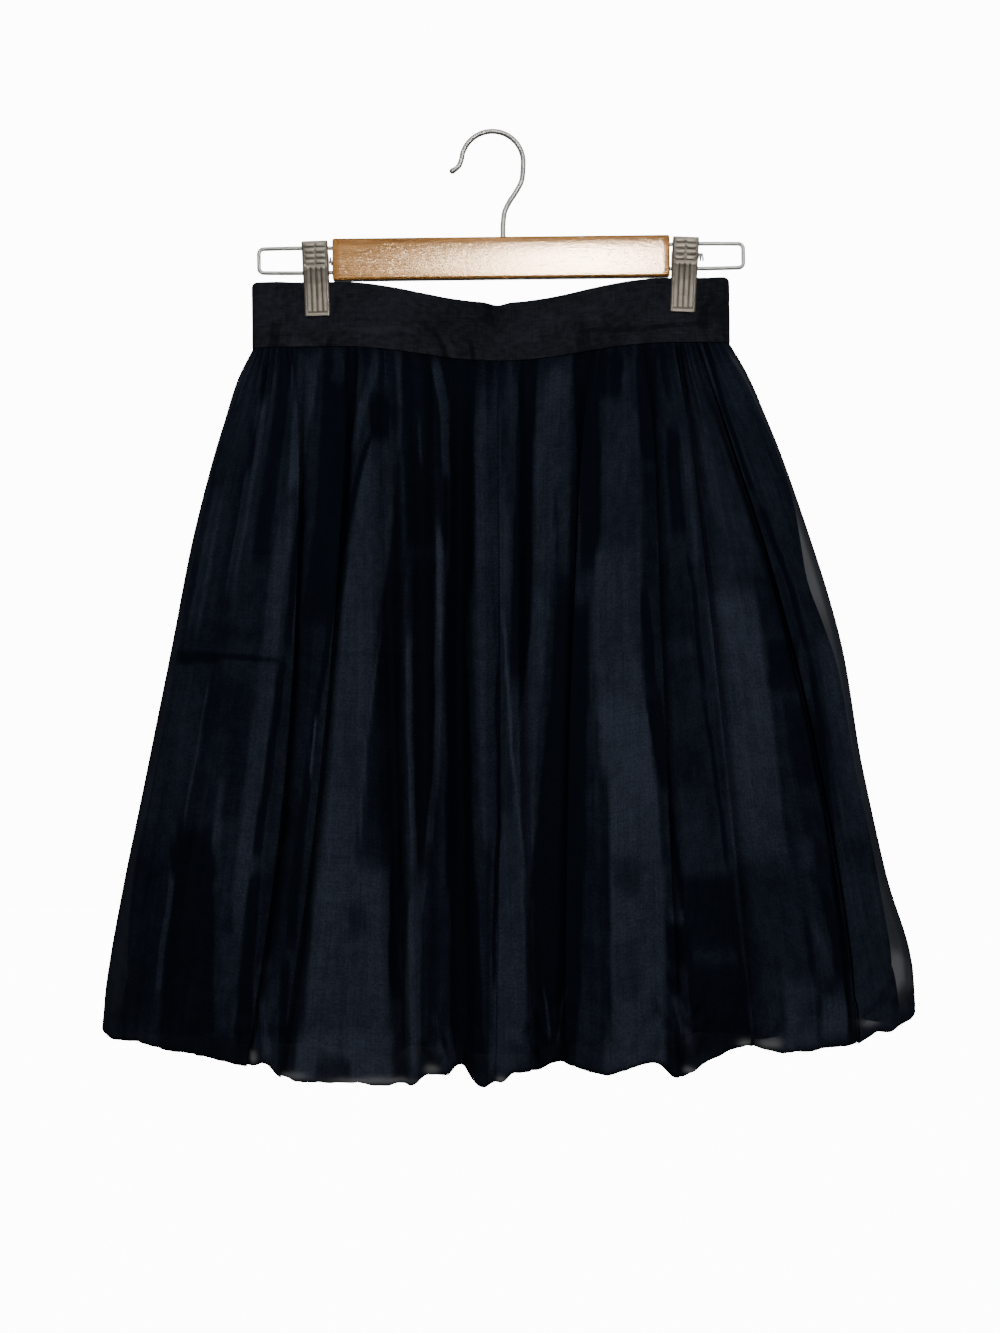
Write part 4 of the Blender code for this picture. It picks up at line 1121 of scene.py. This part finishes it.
def hem_line(side, x):
    """The height of the hem's lowest line: higher at the sides, drawn up by the table, with small puckers."""
    even = HEM_MIDDLE + HEM_SIDE_RISE * (x / 0.285) ** 2
    across, _ = in_steps(x, even)
    stops, rises = column(HEMS[side], "across"), column(HEMS[side], "rise")
    rise = sum(np.interp(across + step, stops, rises) for step in (-4, -2, 0, 2, 4)) / 5
    pucker = waves(89, x, 0 * x, 0.014, 1)
    return even + STEP * (rise + 0.5 * pucker)


def join_line(x):
    """The height of the seam where the turned-up organza meets the lining."""
    return HEM_MIDDLE + LINING_RISE + HEM_SIDE_RISE * (x / 0.262) ** 2


def lining_inset(share):
    """How far the lining lies inside the organza's outline, so that it clears the deepest pleat."""
    walls = (ORGANZA_WALL + LINING_WALL) / 2
    below = share + 0.02 * ease(share / 0.012)
    needed = walls + PLEAT_CLEARANCE + DEEPEST_PLEAT * smooth(below, FULLNESS, "pleats")
    return needed + (TURN_UP_INSET - needed) * ease((share - 0.80) / 0.125)


def lining_section(side, share):
    """The organza's outline moved in to clear the pleats, and at the side seams by the table."""
    sides = (smooth(share, LINING_SIDES, "left"), smooth(share, LINING_SIDES, "right"))
    return Section(side, share, lining_inset(share), sides=sides)


def shell_row(side, share, columns, section, strength, z, moved_in=0.0):
    """One row of the shell: x, y and tone. No pleat goes deeper than the room over the lining leaves.

    Gathers and soft folds follow the cloth: their phase goes by the column, so they run down as it hangs.
    """
    pleat, place = columns
    middle = Section(side, MIDDLE_SHARE)
    cloth_across, _ = pleated(side, MIDDLE_SHARE, pleat, place, middle, 0.0)
    along, inward = pleated(side, share, pleat, place, section, strength)
    along = np.clip(along, SEAM_GAP / 2, section.length - SEAM_GAP / 2)
    depth = inward / DEEPEST_PLEAT
    x, y = section.point(along, 0.0)
    across, down = in_steps(x, z)
    tone = marks(SHELL_FOLDS[side], across, down) + marks(SHELL_CREASES[side], down, across)
    seams = np.clip(np.minimum(along, section.length - along) / 0.012, 0, 1)
    soft = waves(31 + side, cloth_across, share, 0.042, 1.5)
    fine = waves(53 + side, cloth_across, share, 0.011, 0.7)
    uneven = 2.6 * waves(71 + side, cloth_across, share, 0.06, 0.9)
    gathers = np.sin(2 * np.pi * cloth_across / GATHER_SPACING + uneven)
    gathered = ease(share / 0.008) * (1 - ease((share + 0.02 * soft) / GATHER_LENGTH))
    puckered = ease((share - 0.90) / 0.10)
    relief = GATHER * (0.5 + 0.5 * gathers) * gathered
    relief += ease(share / 0.05) * (SOFT_FOLD * soft + FINE_FOLD * fine)
    relief += puckered * PUCKER * waves(83 + side, cloth_across, share, 0.012, 0.20)
    for puff in PUFFS[side]:
        near = np.exp(-((across - puff.across) ** 2 + (down - puff.down) ** 2) / puff.radius**2)
        relief += puff.height * near * waves(puff.across, x, z, 0.020, 0.030)
    loose = 1 - ease((moved_in - 2 * HEM_TURN) / (TURN_UP_INSET - 2 * HEM_TURN))
    inward = inward + (relief - LIFT * tone) * seams * loose
    if share <= LINING_SHARE:
        room = lining_section(side, share).clear_of(x, y) - 0.0010
        inward = np.minimum(inward, np.maximum(room, 0))
    elif moved_in == 0:
        inward = np.minimum(inward, TURN_UP_ROOM)
    x, y = section.point(along, inward + moved_in)
    # Painted shade: the tone darkens deep in the pleats' valleys, in the hollows of the gathers and soft
    # folds, and just under the waistband.
    tone = 0.50 + tone - 0.18 * depth - 0.12 * gathers * gathered - 0.04 * soft - 0.03 * fine
    tone -= 0.16 * (1 - ease(share / 0.05))
    return x, y, tone


def shell_points(side):
    """Rows of points down the outside, round the turn at the hem and up inside, and their tones.

    Row by row, z runs from the head to the foot, then on a half circle, then up to the lining. The end
    columns lap a little over the other half's at the side seams.
    """
    columns = pleat_columns(side)
    bottom = Section(side, 1.0)
    strength = smooth(1.0, FULLNESS, "pleats")
    level = np.full(len(columns[0]), HEM_MIDDLE)
    seam_x, _, _ = shell_row(side, 0.0, columns, Section(side, 0.0), 0.0, level)
    hem_x, _, _ = shell_row(side, 1.0, columns, bottom, strength, level)
    head = waist_seam(seam_x) + INTO_BAND
    foot = hem_line(side, hem_x)
    rows, tones = [], []
    for share in np.linspace(0, 1, SHELL_ROWS) ** 1.08:
        z = head + (foot + HEM_TURN - head) * share
        full = smooth(share, FULLNESS, "pleats")
        x, y, tone = shell_row(side, share, columns, Section(side, share), full, z)
        rows.append((x, y, z))
        tones.append(tone)
    # Round the turn at the hem and up inside, the tone is lowered: painted shade on the cloth turned under.
    for angle in np.linspace(0, np.pi, TURN_ROWS + 1)[1:]:
        turned = (1 - np.cos(angle)) / 2
        z = foot + HEM_TURN * (1 - np.sin(angle))
        flatter = strength * (1 - 0.6 * turned)
        x, y, tone = shell_row(side, 1.0, columns, bottom, flatter, z, 2 * HEM_TURN * turned)
        rows.append((x, y, z))
        tones.append(tone - 0.3 * turned)
    for up in np.linspace(0, 1, TURN_UP_ROWS + 1)[1:]:
        share = 1 - (1 - LINING_SHARE) * up
        inset = 2 * HEM_TURN * (1 - up) + (TURN_UP_INSET - JOIN_LAP / 4) * up
        z = foot + HEM_TURN
        flatter = strength * 0.4 * (1 - up)
        x, y, tone = shell_row(side, 1.0, columns, Section(side, share), flatter, z, inset)
        rows.append((x, y, z + (join_line(x) + JOIN_LAP - z) * up))
        tones.append(tone - 0.3)
    points = np.array([np.stack(row, axis=1) for row in rows])
    points[:, [0, -1], 1] = -side * SEAM_LAP
    return points, np.array(tones)


def layers(points):
    """How closed the cloth is at each point.

    It lies doubled in the gathers at the waist, in the side seams' allowances and at the hem, but for the
    sheer places of the table. Right at the side seams it is seen edge on, and closes.
    """
    rows = np.linspace(0, 1, SHELL_ROWS) ** 1.08
    share = np.concatenate([rows, np.ones(TURN_ROWS + TURN_UP_ROWS)])[:, None]
    x, z = points[..., 0], points[..., 2]
    across, down = in_steps(x, z)
    inside = np.where(x < 0, -points[:, :1, 0], points[:, -1:, 0]) - np.abs(x)
    ends = np.maximum(1 - ease(share / 0.06), ease((share - 0.93) / 0.05))
    seams = np.where(x < 0, SEAM_CLOSED[LEFT], SEAM_CLOSED[RIGHT])
    closed = np.maximum(ends, seams * ease((SEAM_ALLOWANCE - inside) / 0.004))
    for place in SHEER:
        reach = ((across - place.across) / place.wide) ** 2 + ((down - place.down) / place.tall) ** 2
        closed = closed + (place.closed - closed) * np.exp(-reach**1.5)
    return np.maximum(closed, EDGE_CLOSED * ease((0.004 - inside) / 0.003))


def organza():
    """Black organza: hard-twisted fine yarns that let light through, its colour painted a cool grey-blue
    where the folds catch the light and near black where they lie in shadow.
    """
    sheer = Finish("organza", Roughness=0.55)
    sheer.shader.inputs["Specular IOR Level"].default_value = 0.003
    tone = sheer.node("ShaderNodeAttribute", {"attribute_name": "tone"}).part("Fac")
    closed = sheer.node("ShaderNodeAttribute", {"attribute_name": "closed"}).part("Fac")
    warp = sheer.noise(sheer.place((1100, 14, 1), "UV"), 1.0, 3.0)
    weft = sheer.noise(sheer.place((30, 1100, 1), "UV"), 1.0, 3.0)
    thread = warp * 0.55 + weft * 0.45
    streaks = sheer.noise(sheer.place((240, 5, 1), "UV"), 1.0, 2.0).between(0.34, 0.66)
    cloud = sheer.noise(sheer.place((34, 18, 1), "UV"), 1.0, 3.0).between(0.34, 0.66)
    mottle = sheer.noise(sheer.place((150, 95, 1), "UV"), 1.0, 3.0, 0.6).between(0.34, 0.66)
    slub = sheer.noise(sheer.place((640, 560, 1), "UV"), 1.0, 2.0, 0.6)
    # lit carries the painted light and shade of the folds, from the tone, with random mottling over it.
    lit = (tone + cloud * 0.12 + streaks * 0.05 + mottle * 0.12 - 0.14).math("MAXIMUM", 0.0)
    colour = sheer.mix(lit * lit, (0.0015, 0.0024, 0.0045), (0.0148, 0.0181, 0.0282))
    grain = (thread * 0.5 + slub * 0.5).between(0.36, 0.62)
    sheer.feed("Base Color", sheer.mix(grain * 0.44 + 0.56, (0.0006, 0.0009, 0.0015), colour))
    sheer.feed("Roughness", 0.48 + thread * 0.16)
    sheer.feed("Alpha", 0.926 + closed * 0.060 + thread * 0.012)
    sheer.bump(thread, 0.00012)
    return sheer


def make_shell(side, word, finish):
    points, tones = shell_points(side)
    shell = cloth("organza_" + word + "_shell", points, finish, side, flat_uv(points))
    keep_value(shell, "tone", tones)
    keep_value(shell, "closed", layers(points))
    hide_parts("organza_" + word)
    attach(shell, "root")


organza_finish = organza()
make_shell(FRONT, "front", organza_finish)
make_shell(BACK, "back", organza_finish)

# The lining is opaque black taffeta, sewn in with the organza at the waist and to its turned-up edge below.
# It hangs nearly smooth, and shows as the darker cloth behind the sheer one.
LINING_ROWS, LINING_COLUMNS = 70, 260
LINING_HEAD = 0.0035


def taffeta():
    """Dull black lining: a tight smooth weave, a little brighter along its yarns."""
    lining = Finish("lining", Roughness=0.6)
    lining.shader.inputs["Specular IOR Level"].default_value = 0.004
    yarns = lining.noise(lining.place((700, 30, 1), "UV"), 1.0, 2.0)
    gleam = yarns.between(0.3, 0.7)
    lining.feed("Base Color", lining.mix(gleam, (0.0010, 0.0012, 0.0017), (0.0026, 0.0030, 0.0040)))
    lining.feed("Roughness", 0.52 + yarns * 0.16)
    lining.bump(yarns, 0.0001)
    return lining


def make_lining(side, word, finish):
    """The organza's outline moved in, from the waist seam to the join, with shallow upright waves."""
    rows = []
    for part in np.linspace(0, 1, LINING_ROWS):
        share = part * LINING_SHARE
        section = lining_section(side, share)
        along = np.linspace(SEAM_GAP / 2, section.length - SEAM_GAP / 2, LINING_COLUMNS)
        sides = np.clip(np.minimum(along, section.length - along) / 0.02, 0, 1)
        swing = 0.0008 * sides * np.clip(share / 0.1, 0, 1) * (1 - ease((share - 0.8) / 0.1))
        x, y = section.point(along, swing * (1 + 0.5 * waves(11 + side, along, share, 0.06, 2.0)))
        if part == 0:
            head = waist_seam(x) + LINING_HEAD
        rows.append(np.stack([x, y, head + (join_line(x) - head) * part], axis=1))
    points = np.array(rows)
    points[:, [0, -1], 1] = -side * SEAM_LAP
    lining = cloth("lining_" + word + "_cloth", points, finish, side, flat_uv(points))
    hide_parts("lining_" + word)
    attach(lining, "root")


lining_finish = taffeta()
make_lining(FRONT, "front", lining_finish)
make_lining(BACK, "back", lining_finish)

# The studio: a pale floor far below the hanging skirt, a white surround, and soft lamps round the skirt.
# Three panes are flagged off all but the bar, and make the long glare on its varnish.
FRAME_CENTRE = Vector((0.0014, 0.0, -0.3728))
CAMERA_DISTANCE = 1.6
FRAME_HEIGHT = 0.9331
CAMERA_ROLL = math.radians(-0.65)
SENSOR = 36.0
FLOOR_Z = -2.6
FLOOR_HALF = 20.0
WHITE = 13.0

camera = bpy.data.objects.new("camera", bpy.data.cameras.new("camera"))
camera.data.sensor_fit = "VERTICAL"
camera.data.sensor_height = SENSOR
camera.data.lens = SENSOR * CAMERA_DISTANCE / FRAME_HEIGHT
camera.location = FRAME_CENTRE + Vector((0, -CAMERA_DISTANCE, 0))
upright = Matrix.Rotation(math.pi / 2, 3, "X")
camera.rotation_euler = (upright @ Matrix.Rotation(CAMERA_ROLL, 3, "Z")).to_euler()
bpy.context.scene.collection.objects.link(camera)
bpy.context.scene.camera = camera


def softbox(name, place, aim, size, power, colour, mirrored, only=None):
    """A rectangular lamp, mirrored in metal and varnish or not, and flagged off all but one piece or not."""
    lamp = bpy.data.lights.new(name, "AREA")
    lamp.shape = "RECTANGLE"
    lamp.size, lamp.size_y = size
    lamp.energy = power
    lamp.color = colour
    made = bpy.data.objects.new(name, lamp)
    made.location = place
    made.rotation_euler = (Vector(aim) - Vector(place)).to_track_quat("-Z", "Y").to_euler()
    made.visible_glossy = mirrored
    bpy.context.scene.collection.objects.link(made)
    if only is not None:
        made.visible_diffuse = False
        flagged = bpy.data.collections.new(name + "_lights")
        flagged.objects.link(only)
        made.light_linking.receiver_collection = flagged


softbox("window", (0.1525, -1.75, 0.185), (0.0, 0, -0.22), (0.145, 0.33), 10, (1.0, 0.97, 0.93), True)
softbox("key", (0.1400, -1.78, 0.185), (0.0, 0, -0.22), (0.30, 0.40), 28, (1.0, 0.96, 0.91), False)
for name, x, z, size, power, colour in (
    ("pane_right", 0.1375, 0.05, (0.175, 0.70), 130, (1.0, 0.98, 0.95)),
    ("pane_middle", 0.010, 0.0, (0.08, 0.54), 14, (1.0, 0.84, 0.62)),
    ("pane_left", -0.075, -0.09, (0.07, 0.42), 1.0, (1.0, 0.78, 0.50)),
):
    softbox(name, (x, -1.75, z), (x, 0, z), size, power, colour, True, bar)
softbox("fill_left", (-1.3, -1.5, 0.1), (0, 0, -0.35), (1.0, 1.2), 10, (0.90, 0.95, 1.0), False)
softbox("fill_right", (1.5, -1.1, -0.1), (0, 0, -0.35), (0.8, 1.2), 6, (0.92, 0.96, 1.0), False)
softbox("back_fill", (0.6, 1.9, 0.3), (0, 0, -0.35), (1.4, 1.0), 40, (1.0, 0.98, 0.96), True)

world = bpy.data.worlds.new("surround")
world.use_nodes = True
seen = world.node_tree.nodes["Background"]
seen.inputs["Color"].default_value = (1, 1, 1, 1)
seen.inputs["Strength"].default_value = WHITE
dim = world.node_tree.nodes.new("ShaderNodeBackground")
dim.inputs["Color"].default_value = (0.95, 0.97, 1.0, 1)
direction = world.node_tree.nodes.new("ShaderNodeTexCoord")
upward = world.node_tree.nodes.new("ShaderNodeSeparateXYZ")
ceiling = world.node_tree.nodes.new("ShaderNodeMapRange")
ceiling.inputs["From Min"].default_value, ceiling.inputs["From Max"].default_value = -0.2, 0.9
ceiling.inputs["To Min"].default_value, ceiling.inputs["To Max"].default_value = 0.07, 0.75
world.node_tree.links.new(direction.outputs["Generated"], upward.inputs["Vector"])
world.node_tree.links.new(upward.outputs["Z"], ceiling.inputs["Value"])
world.node_tree.links.new(ceiling.outputs["Result"], dim.inputs["Strength"])
path = world.node_tree.nodes.new("ShaderNodeLightPath")
both = world.node_tree.nodes.new("ShaderNodeMixShader")
world.node_tree.links.new(path.outputs["Is Camera Ray"], both.inputs["Fac"])
world.node_tree.links.new(dim.outputs["Background"], both.inputs[1])
world.node_tree.links.new(seen.outputs["Background"], both.inputs[2])
world.node_tree.links.new(both.outputs["Shader"], world.node_tree.nodes["World Output"].inputs["Surface"])
bpy.context.scene.world = world

floor_finish = Finish("floor_paper", Roughness=0.9)
floor_finish.shader.inputs["Base Color"].default_value = (0.85, 0.85, 0.85, 1)
floor_finish.shader.inputs["Emission Color"].default_value = (1, 1, 1, 1)
floor_finish.shader.inputs["Emission Strength"].default_value = WHITE
floor_corners = FLOOR_HALF * np.array([[-1, -1, 0], [1, -1, 0], [1, 1, 0], [-1, 1, 0]]) + (0, 0, FLOOR_Z)
floor = new_piece("floor", floor_corners, [(0, 1, 2, 3)], floor_finish)
floor.visible_diffuse = floor.visible_glossy = False
